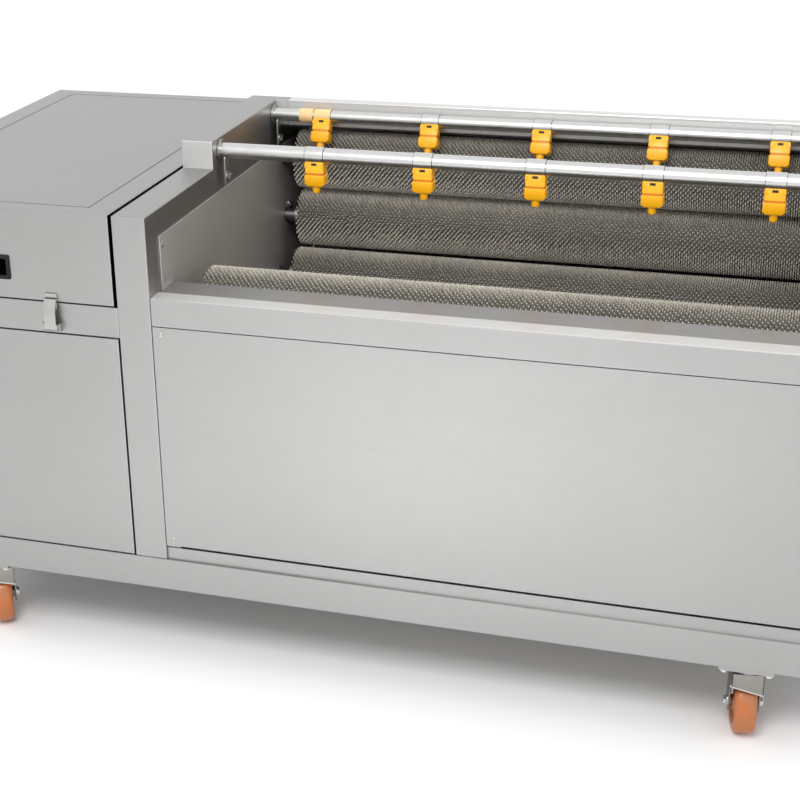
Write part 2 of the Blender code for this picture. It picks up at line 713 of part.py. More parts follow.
def make_rear_panel():
    """Make the rear panel and its deck, folded from one sheet."""
    deck_front = Y_RAIL_FRONT
    path = [(deck_front, Z_TOP), (Y_BACK, Z_TOP), (Y_BACK, Z_RAIL + SEAT_GAP),
            (Y_BACK - DECK_RETURN, Z_RAIL + SEAT_GAP)]
    span = (X_TROUGH_LEFT + SEAT_GAP, X_TROUGH_RIGHT - SEAT_GAP)
    folded_sheet("rear_panel", path, span, "steel")


def make_rear_rail():
    """Make the upper rear rail, a box tube between the stubs of the raised arms."""
    span = (X_TROUGH_LEFT + ARM_STUB + SEAT_GAP, X_TROUGH_RIGHT - ARM_STUB - SEAT_GAP)
    ys = (Y_RAIL_FRONT, ARM_BACK)
    level = (Z_TOP + SEAT_GAP, Z_ARM)
    rail = box("rear_rail", span, ys, level, "steel")
    cut(rail, box("rear_rail_bore_tool", (span[0] - OVERRUN, span[1] + OVERRUN),
                  (ys[0] + SHEET, ys[1] - SHEET), (level[0] + SHEET, level[1] - SHEET)))


def make_front_panel():
    """Make the front panel as a shallow tray that is open at the back."""
    xs = (X_TROUGH_LEFT + PANEL_SEAM, X_TROUGH_RIGHT - PANEL_SEAM)
    level = (Z_BASE + PANEL_BOTTOM, Z_SILL_FOOT - PANEL_SEAM)
    panel = box("front_panel", xs, (Y_FRONT, Y_FRONT + PANEL_DEPTH), level, "steel")
    cut(panel, box("panel_back_tool", (xs[0] + SHEET, xs[1] - SHEET),
                   (Y_FRONT + SHEET, Y_FRONT + PANEL_DEPTH + OVERRUN),
                   (level[0] + SHEET, level[1] - SHEET)))


def make_water_tray():
    """Make the open tray under the rollers, with its drain spigot."""
    xs = (X_TROUGH_LEFT + SEAT_GAP, X_TROUGH_RIGHT - SEAT_GAP)
    ys = (Y_FRONT + TRAY_INSET, Y_BACK - TRAY_INSET)
    level = (Z_RAIL + SEAT_GAP, Z_TRAY_TOP)
    tray = box("water_tray", xs, ys, level, "steel")
    cut(tray, box("tray_hollow_tool", (xs[0] + SHEET, xs[1] - SHEET), (ys[0] + SHEET, ys[1] - SHEET),
                  (level[0] + SHEET, level[1] + OVERRUN)))
    drain = (X_TROUGH_RIGHT - DRAIN_INSET, 0)
    join(tray, rod("drain_tool", "Z", drain, (level[0] - DRAIN_LENGTH, level[0] + OVERRUN), DRAIN_RADIUS))
    cut(tray, rod("drain_bore_tool", "Z", drain, (level[0] - DRAIN_LENGTH - OVERRUN, level[0] + SHEET * 2),
                  DRAIN_RADIUS - SHEET))


def door_pivot():
    """Return the (X, Y) of the cabinet door's pivot pins."""
    return X_POST - DOOR_SIDE_GAP - DOOR_PIVOT_INSET, Y_FRONT + DOOR_PIVOT_INSET


def hinge_places():
    """Return the X of the middle of each lid hinge."""
    return (X_LEFT + HINGE_INSET, X_LID_RIGHT - HINGE_INSET)


def latch_places():
    """Return the X of the middle of each draw latch."""
    return {"left": X_LEFT + LATCH_INSET, "right": X_LID_RIGHT - LATCH_INSET}


def latch_pivot():
    """Return the (Y, Z) of the latches' pivot axis."""
    return Y_FRONT - HARDWARE_PROUD + KNUCKLE_RADIUS, Z_LID - LATCH_PIVOT_DROP


def make_drive_cabinet():
    """Make the cabinet shell with its front band, motor shelf, latch ears and lid hinge pins."""
    right = X_POST - SEAT_GAP
    shell = box("drive_cabinet", (X_LEFT, right), (Y_FRONT, Y_BACK), (Z_RAIL + SEAT_GAP, Z_LID), "steel")
    past = right + OVERRUN
    back = Y_BACK - SHEET
    floor = Z_RAIL + SEAT_GAP + SHEET
    stile_y = Y_FRONT + DOOR_DEPTH + SEAM
    door_room = (Y_FRONT - OVERRUN, Y_FRONT + DOOR_DEPTH + DOOR_CLEARANCE)
    cut(shell,
        box("compartment_tool", (X_LEFT + SHEET, past), (Y_FRONT - OVERRUN, back), (floor, Z_BAND)),
        box("doorway_tool", (X_LEFT + SHEET, past), door_room, (Z_RAIL, floor + OVERRUN)),
        box("under_shelf_tool", (X_LEFT + SHEET, past), (Y_FRONT + BAND_DEPTH, back),
            (Z_BAND - OVERRUN, Z_SHELF - SHEET)),
        box("motor_bay_tool", (X_LEFT + SHEET, past), (Y_FRONT + SHEET, back), (Z_SHELF, Z_LID + OVERRUN)))
    tools = [box("stile_tool", (X_LEFT + OVERRUN, X_LEFT + STILE_WIDTH), (stile_y, stile_y + SHEET),
                 (floor - OVERRUN, Z_BAND + OVERRUN))]
    y_pin = Y_BACK + HARDWARE_PROUD - KNUCKLE_RADIUS
    for x in hinge_places():
        for sign in (-1, 1):
            near = KNUCKLE_LENGTH / 2 + SEAT_GAP
            xs = tuple(sorted((x + sign * near, x + sign * (near + KNUCKLE_LENGTH / 2))))
            tools.append(rod("cabinet_knuckle_tool", "X", (y_pin, Z_LID), xs, KNUCKLE_RADIUS, 12))
            leaf = (xs[0] + SEAT_GAP, xs[1] - SEAT_GAP)
            tools.append(box("cabinet_leaf_tool", leaf, (Y_BACK - OVERRUN, y_pin),
                             (Z_LID - BAND_HEIGHT / 2, Z_LID - PIN_RADIUS)))
        reach = KNUCKLE_LENGTH / 2 + OVERRUN
        tools.append(rod("lid_pin_tool", "X", (y_pin, Z_LID), (x - reach, x + reach), PIN_RADIUS, 8))
    y_latch, z_latch = latch_pivot()
    for x in latch_places().values():
        for sign in (-1, 1):
            near = LATCH_WIDTH / 2 + SEAT_GAP
            xs = tuple(sorted((x + sign * near, x + sign * (near + LATCH_EAR))))
            tools.append(box("latch_ear_tool", xs, (y_latch - PIN_RADIUS, Y_FRONT + OVERRUN),
                             (z_latch - KNUCKLE_RADIUS, z_latch + KNUCKLE_RADIUS)))
        reach = LATCH_WIDTH / 2 + OVERRUN
        tools.append(rod("latch_pin_tool", "X", (y_latch, z_latch), (x - reach, x + reach), PIN_RADIUS, 12))
    join(shell, *tools)
    socket = rod("door_top_socket_tool", "Z", door_pivot(),
                 (Z_BAND - OVERRUN, Z_BAND + PIN_LENGTH + OVERRUN), PIN_RADIUS + SEAT_GAP, 12)
    stem = rod("switch_hole_tool", "Y", switch_place(), (Y_FRONT - OVERRUN, Y_FRONT + SHEET + OVERRUN),
               STEM_RADIUS + SEAT_GAP, 12)
    cut(shell, socket, stem)


def switch_place():
    """Return the (X, Z) of the power switch on the cabinet's band, left of the left latch."""
    return X_LEFT + SWITCH_INSET, (Z_LID + Z_BAND) / 2


def make_power_switch():
    """Make the rotary power switch."""
    place = switch_place()
    pivot = (place[0], Y_FRONT, place[1])
    knob = rod("power_switch", "Y", place, (Y_FRONT - SWITCH_PROUD, Y_FRONT - SEAT_GAP),
               SWITCH_RADIUS - SEAT_GAP, 20, "black", pivot)
    grip = box("switch_grip_tool", (place[0] - SHEET, place[0] + SHEET),
               (Y_FRONT - SWITCH_PROUD - SHEET / 2, Y_FRONT - SWITCH_PROUD + OVERRUN),
               (place[1] - SWITCH_RADIUS / 2, place[1] + SWITCH_RADIUS / 2))
    stem = rod("switch_stem_tool", "Y", place, (Y_FRONT - OVERRUN, Y_FRONT + SHEET * 2), STEM_RADIUS, 12)
    join(knob, grip, stem)


def make_drive_lid():
    """Make the lid: a box open below and on the right, grooved round its top panel."""
    y_pin = Y_BACK + HARDWARE_PROUD - KNUCKLE_RADIUS
    pivot = ((X_LEFT + X_LID_RIGHT) / 2, y_pin, Z_LID)
    low = Z_LID + SEAM
    lid = box("drive_lid", (X_LEFT, X_LID_RIGHT), (Y_FRONT, Y_BACK), (low, Z_TOP), "steel", pivot)
    hollow = box("lid_hollow_tool", (X_LEFT + SHEET, X_LID_RIGHT + OVERRUN),
                 (Y_FRONT + SHEET, Y_BACK - SHEET), (low - OVERRUN, Z_TOP - SHEET))
    cut(lid, hollow)
    tools = []
    for x in hinge_places():
        xs = (x - KNUCKLE_LENGTH / 2, x + KNUCKLE_LENGTH / 2)
        tools.append(rod("lid_knuckle_tool", "X", (y_pin, Z_LID), xs, KNUCKLE_RADIUS, 12))
        leaf = (xs[0] + SEAT_GAP, xs[1] - SEAT_GAP)
        tools.append(box("lid_leaf_tool", leaf, (Y_BACK - OVERRUN, y_pin),
                         (Z_LID + PIN_RADIUS, Z_LID + BAND_HEIGHT / 2)))
    join(lid, *tools)
    bores = []
    for x in hinge_places():
        xs = (x - KNUCKLE_LENGTH, x + KNUCKLE_LENGTH)
        bores.append(rod("lid_bore_tool", "X", (y_pin, Z_LID), xs, PIN_RADIUS + SEAT_GAP, 12))
    x, z = pull_place()
    width = PULL_WIDTH / 2 - PULL_RIM + SEAT_GAP
    height = PULL_HEIGHT / 2 - PULL_RIM + SEAT_GAP
    bores.append(box("pull_hole_tool", (x - width, x + width),
                     (Y_FRONT - OVERRUN, Y_FRONT + SHEET + OVERRUN), (z - height, z + height)))
    xs = (X_LEFT + LID_BORDER, X_LID_RIGHT - LID_BORDER)
    ys = (Y_FRONT + LID_FOLD, Y_BACK - LID_FOLD)
    rim = [(xs[0], ys[0]), (xs[1], ys[0]), (xs[1], ys[1]), (xs[0], ys[1])]
    inside = [(xs[0] + GROOVE, ys[0] + GROOVE), (xs[1] - GROOVE, ys[0] + GROOVE),
              (xs[1] - GROOVE, ys[1] - GROOVE), (xs[0] + GROOVE, ys[1] - GROOVE)]
    bores.append(prism("groove_tool", "Z", [rim, inside], (Z_TOP - GROOVE_DEPTH, Z_TOP + OVERRUN)))
    cut(lid, *bores)


def pull_place():
    """Return the (X, Z) of the middle of the lid's pull."""
    return (X_LEFT + X_LID_RIGHT) / 2, Z_LID + PULL_LEVEL


def make_lid_pull():
    """Make the flush pull: a rim on the lid's face and a cup behind it."""
    x, z = pull_place()
    half_width = PULL_WIDTH / 2
    half_height = PULL_HEIGHT / 2
    pull = box("lid_handle", (x - half_width, x + half_width), (Y_FRONT - PULL_PROUD, Y_FRONT - SEAT_GAP),
               (z - half_height, z + half_height), "black")
    cup_x = half_width - PULL_RIM
    cup_z = half_height - PULL_RIM
    join(pull, box("cup_tool", (x - cup_x, x + cup_x), (Y_FRONT - OVERRUN, Y_FRONT + CUP_DEPTH),
                   (z - cup_z, z + cup_z)))
    cut(pull, box("finger_tool", (x - cup_x + SHEET, x + cup_x - SHEET),
                  (Y_FRONT - PULL_PROUD - OVERRUN, Y_FRONT + CUP_DEPTH - SHEET),
                  (z - cup_z + SHEET, z + cup_z - SHEET)))


def make_latches():
    """Make the two draw latches: a lever on its pivot, with the hook's end before the lid."""
    y, z = latch_pivot()
    half = LATCH_WIDTH / 2
    top = z + LATCH_LENGTH
    for name, x in latch_places().items():
        pivot = (x, y, z)
        front = Y_FRONT - HARDWARE_PROUD
        lever = box("latch_" + name, (x - half, x + half), (front, front + LATCH_THICKNESS),
                    (z - PIN_RADIUS, top), "zinc", pivot)
        knuckle = rod("latch_knuckle_tool", "X", (y, z), (x - half, x + half), KNUCKLE_RADIUS, 12)
        hook = box("latch_hook_tool", (x - half, x + half), (front + OVERRUN, Y_FRONT - SEAT_GAP),
                   (top - LATCH_THICKNESS, top))
        join(lever, knuckle, hook)
        cut(lever, rod("latch_bore_tool", "X", (y, z), (x - LATCH_WIDTH, x + LATCH_WIDTH),
                       PIN_RADIUS + SEAT_GAP, 12))


def lock_place():
    """Return the (X, Z) of the door lock."""
    return X_LEFT + LOCK_INSET, Z_BAND - LOCK_LEVEL


def make_cabinet_door():
    """Make the cabinet door as a tray open at the back, with its pivot pins."""
    xs = (X_LEFT + SHEET + PANEL_SEAM, X_POST - DOOR_SIDE_GAP)
    level = (Z_RAIL + SEAM, Z_BAND - SEAM)
    pivot = (*door_pivot(), level[0])
    door = box("cabinet_door", xs, (Y_FRONT, Y_FRONT + DOOR_DEPTH), level, "steel", pivot)
    cut(door, box("door_back_tool", (xs[0] + SHEET, xs[1] - SHEET),
                  (Y_FRONT + SHEET, Y_FRONT + DOOR_DEPTH + OVERRUN), (level[0] + SHEET, level[1] - SHEET)))
    low_pin = (Z_RAIL - PIN_LENGTH, level[0] + OVERRUN)
    high_pin = (level[1] - OVERRUN, Z_BAND + PIN_LENGTH)
    join(door, *(rod("pin_tool", "Z", door_pivot(), pin, PIN_RADIUS, 12) for pin in (low_pin, high_pin)))
    cut(door, rod("lock_hole_tool", "Y", lock_place(), (Y_FRONT - OVERRUN, Y_FRONT + SHEET * 2),
                  LOCK_RADIUS + SEAT_GAP, 20))


def make_door_lock():
    """Make the quarter-turn lock, with its cam upright behind the door when it is released."""
    x, z = lock_place()
    pivot = (x, Y_FRONT, z)
    cam_y = Y_FRONT + DOOR_DEPTH + SEAM + SHEET + CAM_PLAY
    lock = rod("door_lock", "Y", (x, z), (Y_FRONT - PULL_PROUD, cam_y + SHEET), LOCK_RADIUS, 20, "zinc",
               pivot)
    cam = box("cam_tool", (x - CAM_WIDTH / 2, x + CAM_WIDTH / 2), (cam_y, cam_y + SHEET),
              (z, z + CAM_LENGTH))
    join(lock, cam)
    cut(lock, box("slot_tool", (x - SHEET, x + SHEET), (Y_FRONT - PULL_PROUD - OVERRUN, Y_FRONT - OVERRUN),
                  (z - LOCK_RADIUS / 2, z + LOCK_RADIUS / 2)))


def make_control_box():
    """Make the control box on the back wall of the lower compartment."""
    width, depth, height = CONTROL_BOX
    middle = (X_LEFT + X_LID_RIGHT) / 2
    back = Y_BACK - SHEET - SEAT_GAP
    low = (Z_RAIL + Z_BAND - height) / 2
    case = box("control_box", (middle - width / 2, middle + width / 2), (back - depth, back),
               (low, low + height), "box_grey")
    rounding = case.modifiers.new("rounding", "BEVEL")
    rounding.width = SHEET * 2
    rounding.segments = 1


def make_gearmotor():
    """Make the gearmotor on its foot plate, with a bore for the output shaft."""
    length, width, height = GEARBOX
    end = X_LID_RIGHT - GEARBOX_GAP
    start = end - length
    unit = box("gearmotor", (start, end), (-width / 2, width / 2),
               (Z_MOTOR - height / 2, Z_MOTOR + height / 2), "motor_paint")
    motor = rod("motor_tool", "X", (0, Z_MOTOR), (start - MOTOR_LENGTH, start + OVERRUN), MOTOR_RADIUS, 32)
    foot = box("foot_tool", (start, end), (-FOOT_WIDTH / 2, FOOT_WIDTH / 2),
               (Z_SHELF + SEAT_GAP, Z_SHELF + FOOT_THICKNESS))
    riser = box("riser_tool", (start + FOOT_THICKNESS, end - FOOT_THICKNESS), (-width / 3, width / 3),
                (Z_SHELF + FOOT_THICKNESS - OVERRUN, Z_MOTOR))
    join(unit, motor, foot, riser)
    cut(unit, rod("output_bore_tool", "X", (0, Z_MOTOR), (end - SHAFT_ENGAGEMENT, end + OVERRUN),
                  bore_radius(MOTOR_SHAFT_RADIUS, SHAFT_SIDES), SHAFT_SIDES))


def make_motor_sprocket():
    """Make the drive sprocket with the output shaft that carries it."""
    span = (X_SPROCKET, X_SPROCKET + SPROCKET_WIDTH)
    centre = (0, Z_MOTOR)
    pivot = (X_SPROCKET, 0, Z_MOTOR)
    sprocket = prism("motor_sprocket", "X", [sprocket_outline(centre, MOTOR_TEETH)], span,
                     "shaft_steel", pivot)
    start = X_LID_RIGHT - GEARBOX_GAP - SHAFT_ENGAGEMENT + SEAM
    join(sprocket, rod("motor_shaft_tool", "X", centre, (start, span[1] + SEAM), MOTOR_SHAFT_RADIUS,
                       SHAFT_SIDES))


def hull(points):
    """Return the convex hull of points, anticlockwise."""
    def turn(a, b, c):
        return (b[0] - a[0]) * (c[1] - a[1]) - (b[1] - a[1]) * (c[0] - a[0])

    chains = []
    for ordered in (sorted(points), sorted(points, reverse=True)):
        chain = []
        for point in ordered:
            while len(chain) > 1 and turn(chain[-2], chain[-1], point) <= 0:
                chain.pop()
            chain.append(point)
        chains.extend(chain[:-1])
    return chains


def chain_loop(extra):
    """Return the loop round all the sprockets at a distance outside their tooth tips."""
    points = circle_points((0, Z_MOTOR), pitch_radius(MOTOR_TEETH) + TOOTH_HEIGHT + extra, ARC_STEPS)
    for place in roller_places():
        points += circle_points(place, pitch_radius(ROLLER_TEETH) + TOOTH_HEIGHT + extra, ARC_STEPS)
    return hull(points)


def make_drive_chain():
    """Make the drive chain as a closed band just outside the tooth tips."""
    middle = X_SPROCKET + SPROCKET_WIDTH / 2
    inside = CHAIN_CLEARANCE / cos(pi / ARC_STEPS) + (pitch_radius(ROLLER_TEETH) + TOOTH_HEIGHT) * (
        1 / cos(pi / ARC_STEPS) - 1)
    loops = [chain_loop(inside + CHAIN_THICKNESS), chain_loop(inside)]
    prism("drive_chain", "X", loops, (middle - CHAIN_WIDTH / 2, middle + CHAIN_WIDTH / 2), "chain_steel")


def shaft_mesh():
    """Return the roller shaft with its sprocket, along X from the shaft's own axis."""
    left = X_SPROCKET - SEAM
    right = X_TROUGH_RIGHT + WEB + BEARING_LENGTH + SEAM * 2
    shaft = rod("shaft", "X", (0, 0), (left, right), SHAFT_RADIUS, SHAFT_SIDES, "shaft_steel")
    sprocket = prism("roller_sprocket_tool", "X", [sprocket_outline((0, 0), ROLLER_TEETH)],
                     (X_SPROCKET, X_SPROCKET + SPROCKET_WIDTH))
    join(shaft, sprocket)
    return baked_mesh(shaft, "shaft_steel")


def tuft_tool():
    """Make the tufts of one brush as three-sided prisms set round the core in staggered rows."""
    shape = bmesh.new()
    root = BRUSH_CORE_RADIUS * cos(pi / CORE_SIDES) - SHEET
    length = ROLLER_RADIUS - root
    spacing = (X_BRUSH_RIGHT - X_BRUSH_LEFT) / TUFT_ROWS
    for row in range(TUFT_ROWS):
        x = X_BRUSH_LEFT + spacing * (row + 1 / 2)
        for index in range(TUFTS_PER_ROW):
            angle = 2 * pi * (index + row / 2 + 1 / 4) / TUFTS_PER_ROW
            place = Matrix.Translation((x, 0, 0)) @ Matrix.Rotation(angle, 4, "X")
            outward = place @ Matrix.Translation((0, 0, root + length / 2))
            bmesh.ops.create_cone(
                shape, cap_ends=True, segments=TUFT_SIDES, radius1=TUFT_ROOT_RADIUS,
                radius2=TUFT_TIP_RADIUS, depth=length, matrix=outward)
    mesh = bpy.data.meshes.new("tufts")
    shape.to_mesh(mesh)
    shape.free()
    return add_object("tufts_tool", mesh, None)


def brush_mesh():
    """Return the brush: a core sleeve with its tufts, bored for the shaft."""
    core = rod("core", "X", (0, 0), (X_BRUSH_LEFT, X_BRUSH_RIGHT), BRUSH_CORE_RADIUS, CORE_SIDES, "bristle")
    join(core, tuft_tool())
    cut(core, rod("core_bore_tool", "X", (0, 0), (X_BRUSH_LEFT - OVERRUN, X_BRUSH_RIGHT + OVERRUN),
                  SHAFT_RADIUS + SEAT_GAP, SHAFT_SIDES))
    return baked_mesh(core, "bristle")


def make_rollers():
    """Make the rollers, numbered from the top rear one down and forward."""
    shaft = shaft_mesh()
    brush = brush_mesh()
    for index, (y, z) in enumerate(roller_places()):
        place_copy("roller_shaft_%d" % (index + 1), shaft, (0, y, z))
        place_copy("brush_%d" % (index + 1), brush, (0, y, z))


def make_spray_pipe(name, y, radius):
    """Make a spray pipe between the raised arms, with a bolted tab at each end."""
    span = (X_TROUGH_LEFT + SEAT_GAP, X_TROUGH_RIGHT - SEAT_GAP)
    pipe = rod(name, "X", (y, Z_PIPE), span, radius, PIPE_SIDES, "pipe_steel")
    tools = []
    for end, sign in ((span[0], 1), (span[1], -1)):
        near = end + sign * TAB_OFFSET
        far = near + sign * TAB_THICKNESS
        ys = (y - TAB_WIDTH / 2, y + TAB_WIDTH / 2)
        tools.append(box(name + "_tab_tool", tuple(sorted((near, far))), ys, (Z_PIPE - TAB_DROP, Z_PIPE)))
        bolt = tuple(sorted((end, far + sign * TAB_THICKNESS)))
        bolt_place = (y, Z_TOP - LINER_TOP_DROP / 2)
        tools.append(rod(name + "_bolt_tool", "X", bolt_place, bolt, TAB_BOLT_RADIUS, 8))
    join(pipe, *tools)
    cut(pipe, rod(name + "_bore_tool", "X", (y, Z_PIPE), (span[0] - OVERRUN, span[1] + OVERRUN),
                  radius - PIPE_WALL, PIPE_SIDES))


def nozzle_mesh(pipe_radius):
    """Return a clip-on nozzle hanging below a pipe whose axis runs along X through the origin."""
    band = BAND_WIDTH / 2
    body = NOZZLE_WIDTH / 2
    shoulder = -pipe_radius - NOZZLE_SHOULDER
    foot = shoulder - NOZZLE_BODY + NOZZLE_TAPER
    outline = [(-band, 0), (-band, shoulder), (-body, shoulder), (-body, foot),
               (-body + NOZZLE_TAPER, foot - NOZZLE_TAPER), (body - NOZZLE_TAPER, foot - NOZZLE_TAPER),
               (body, foot), (body, shoulder), (band, shoulder), (band, 0)]
    nozzle = prism("nozzle", "Y", [outline], (-NOZZLE_DEPTH / 2, NOZZLE_DEPTH / 2), "amber")
    ring = rod("clip_tool", "X", (0, 0), (OVERRUN - band, band - OVERRUN), pipe_radius + BAND_THICKNESS,
               PIPE_SIDES)
    tip = rod("tip_tool", "Z", (0, 0), (foot - NOZZLE_TAPER - TIP_LENGTH, foot), TIP_RADIUS, 10)
    join(nozzle, ring, tip)
    cut(nozzle, rod("clip_bore_tool", "X", (0, 0), (-body, body), pipe_radius + SEAT_GAP, PIPE_SIDES))
    return baked_mesh(nozzle, "amber")


def make_nozzles():
    """Make both rows of nozzles; the rear row leans toward the loading side."""
    rows = (("front", Y_FRONT_PIPE, FRONT_PIPE_RADIUS, FRONT_NOZZLE_START, FRONT_NOZZLE_END, 0.0),
            ("rear", Y_REAR_PIPE, REAR_PIPE_RADIUS, REAR_NOZZLE_START, REAR_NOZZLE_END, -REAR_NOZZLE_TILT))
    for name, y, radius, start, end, tilt in rows:
        mesh = nozzle_mesh(radius)
        pitch = (X_TROUGH_RIGHT - X_TROUGH_LEFT - start - end) / (NOZZLE_COUNT - 1)
        for index in range(NOZZLE_COUNT):
            x = X_TROUGH_LEFT + start + pitch * index
            place_copy("%s_nozzle_%d" % (name, index + 1), mesh, (x, y, Z_PIPE), (tilt, 0, 0))


def shade_parts():
    """Shade every part smooth except at its real edges."""
    for item in bpy.data.collections[COLLECTION].objects:
        smooth(item.data)


def main():
    """Build every piece of the machine."""
    clear_scene()
    make_base_frame()
    make_castors()
    make_end_frame("left_end_frame", X_TROUGH_LEFT, -1)
    make_right_end_frame()
    make_liners()
    make_sill()
    make_front_panel()
    make_rear_panel()
    make_rear_rail()
    make_water_tray()
    make_drive_cabinet()
    make_drive_lid()
    make_lid_pull()
    make_latches()
    make_cabinet_door()
    make_door_lock()
    make_power_switch()
    make_control_box()
    make_gearmotor()
    make_motor_sprocket()
    make_drive_chain()
    make_rollers()
    make_spray_pipe("front_spray_pipe", Y_FRONT_PIPE, FRONT_PIPE_RADIUS)
    make_spray_pipe("rear_spray_pipe", Y_REAR_PIPE, REAR_PIPE_RADIUS)
    make_nozzles()
    make_discharge_flap()
    make_flap_catch()
    shade_parts()


main()
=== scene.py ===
"""Looks of the brush-roller carrot washing machine, built round its packed parts.

Shapes are numpy surfaces: stacks of closed rings, turned profiles, and outlines carried along an
axis. All lengths are in metres, +X runs from the drive cabinet to the discharge end, -Y is the
loading side and +Z is up.
"""
import json
from itertools import product
from math import cos, pi, radians, sin

import bmesh
import bpy
import numpy as np
from bpy.props import FloatProperty, FloatVectorProperty, IntProperty, PointerProperty
from mathutils import Matrix, Vector


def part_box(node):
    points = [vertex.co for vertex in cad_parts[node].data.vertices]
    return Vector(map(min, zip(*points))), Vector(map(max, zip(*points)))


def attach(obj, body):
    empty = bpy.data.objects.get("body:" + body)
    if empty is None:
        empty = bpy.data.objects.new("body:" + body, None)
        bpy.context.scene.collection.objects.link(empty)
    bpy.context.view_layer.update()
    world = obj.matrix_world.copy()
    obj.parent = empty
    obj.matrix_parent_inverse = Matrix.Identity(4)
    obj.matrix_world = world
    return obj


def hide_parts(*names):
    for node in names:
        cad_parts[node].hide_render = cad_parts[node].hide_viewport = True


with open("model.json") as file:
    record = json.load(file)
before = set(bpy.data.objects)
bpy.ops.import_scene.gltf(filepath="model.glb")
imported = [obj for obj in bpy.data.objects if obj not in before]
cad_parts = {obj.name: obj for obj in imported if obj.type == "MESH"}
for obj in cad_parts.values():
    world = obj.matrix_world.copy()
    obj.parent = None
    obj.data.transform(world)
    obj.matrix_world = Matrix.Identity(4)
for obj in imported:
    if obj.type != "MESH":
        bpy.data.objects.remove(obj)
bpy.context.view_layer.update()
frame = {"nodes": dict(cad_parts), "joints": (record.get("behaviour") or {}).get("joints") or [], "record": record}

bl_info = {
    "name": "Carrot Washer Looks",
    "version": (1, 0, 0),
    "blender": (4, 5, 0),
    "location": "View3D > Sidebar > Washer",
    "description": "Dresses a brush-roller vegetable washer in steel, bristle and amber plastic",
    "category": "Object",
}

# Photograph's viewpoint and the floor's half width
CAMERA_PLACE = (0.71348, -2.67743, 1.53672)
CAMERA_TURN = (67.0258, 1.3530, 17.5790)
CAMERA_LENS = 72.79
CAMERA_SHIFT = 0.1
FLOOR_REACH = 30.0

# Drive train
TOOTH_HEIGHT = 0.0045
ROOT_DEPTH = 0.0040
CHAIN_PITCH = 0.015875
ROLLER_TEETH = 15
MOTOR_TEETH = 11
SPROCKET_WIDTH = 0.009
CHAIN_CLEARANCE = 0.0008
LINK_HEIGHT = 0.0058
LINK_SHEET = 0.0010
LINK_LENGTH_SHARE = 0.98
SHAFT_RADIUS = 0.0125
COLLAR_LENGTH = 0.012
COLLAR_GAP = 0.002

# Corners of a link's waisted outline, as shares of its length and height
LINK_OUTLINE = ((0.5, -0.495), (0.72, 0.0), (0.5, 0.495), (0.0, 0.342),
                (-0.5, 0.495), (-0.72, 0.0), (-0.5, -0.495), (0.0, -0.342))

# Gearmotor
MOTOR_RADIUS = 0.068
MOTOR_SHAFT_RADIUS = 0.011
GEARBOX_LENGTH = 0.130
FAN_COVER_LENGTH = 0.045
FOOT_THICKNESS = 0.008
FIN_COUNT = 40
FIN_ROOT_SHARE = 0.86

# Spray bars and nozzles
FRONT_PIPE_RADIUS = 0.0135
REAR_PIPE_RADIUS = 0.0120
SPRAY_BARS = (("front_bar", "front_spray_pipe", FRONT_PIPE_RADIUS),
              ("rear_bar", "rear_spray_pipe", REAR_PIPE_RADIUS))
PIPE_WALL = 0.0015
TAB_OFFSET = 0.008
TAB_SHEET = 0.003
STRAP_WIDTH = 0.034
# Width of the near-black ring at each end of a strap, painted shade
STRAP_EDGE_SHADE = 0.0008
REAR_TILT = radians(25.0)
NOZZLES = range(1, 6)

# Front sill
SILL_LIP = 0.034
# Width of the painted shadow line along the sill's step
STEP_SHADOW_WIDTH = 0.0016

# Castors
AXLE_RADIUS = 0.006
WHEEL_RADIUS = 0.0525
FORK_INSIDE = 0.022
FORK_SHEET = 0.003
FORK_OUTSIDE = FORK_INSIDE + FORK_SHEET
SKIRT_LEVEL = 0.0900
SKIRT_RISE = 0.0140
# Width of the painted highlight strip along the skirt's hem
HEM_HIGHLIGHT = 0.0020
PLATE_FACE = 0.139
PLATE_BOLT_REACH = 0.0345

# Lid pull, draw latches and the web of the end frame
PULL_PROUD = 0.0025
PULL_RIM = 0.007
LATCH_HALF_WIDTH = 0.0105
END_WEB = 0.004

# Bolts and screws by radius and height
AXLE_NUT = (0.0075, 0.0065)
PLATE_BOLT = (0.0062, 0.0060)
TAB_BOLT = (0.0062, 0.0060)
LINER_BOLT = (0.0060, 0.0060)
COVER_BOLT = (0.0050, 0.0040)
FOOT_BOLT = (0.0065, 0.0070)
FLANGE_BOLT = (0.0055, 0.0050)
PANEL_SCREW = (0.0038, 0.0014)
BOX_SCREW = (0.0045, 0.0018)
CATCH_SCREW = (0.0042, 0.0016)

# Y and Z of the bolt that shows on the left liner
LINER_BOLT_PLACE = (0.272, 0.642)

# Tufts: radius at root and tip as shares of their width, and how far they stray from their places
TUFT_ROOT_SHARE = 0.5
TUFT_TIP_SHARE = 0.4
ANGLE_SCATTER = 0.012
RING_SCATTER = 0.0002
SLEEVE_EASE = 0.003

# Rollers whose bristle is painted lighter towards the root, by number: painted light where these rollers catch
# more light
ROOT_PAINTED_LIGHT = {2: 0.75, 3: 0.35}

# Folds that are rounded: their least length and least angle
FOLD_LENGTH = 0.015
FOLD_ANGLE = radians(60.0)

# Brushed grain: how often the streaks change along X, Y and Z
GRAIN_X = (4.0, 260.0, 260.0)
GRAIN_Y = (260.0, 4.0, 260.0)
GRAIN_Z = (260.0, 260.0, 4.0)
LINER_GRAIN = (260.0, 5.0, 160.0)
TRAY_GRAIN = (5.0, 200.0, 200.0)

# Fine clearances between finished surfaces
HAIR = 0.0003
SKIN = 0.0012

UP = Vector((0.0, 0.0, 1.0))
FORWARD = Vector((0.0, -1.0, 0.0))

JOINTS = {joint["name"]: joint for joint in frame["joints"]}
ROLLERS = range(1, 9)
FINISHES = {}


def joint_place(name):
    """Return the point on a joint's axis as an array."""
    return np.array(JOINTS[name]["pos_m"], float)


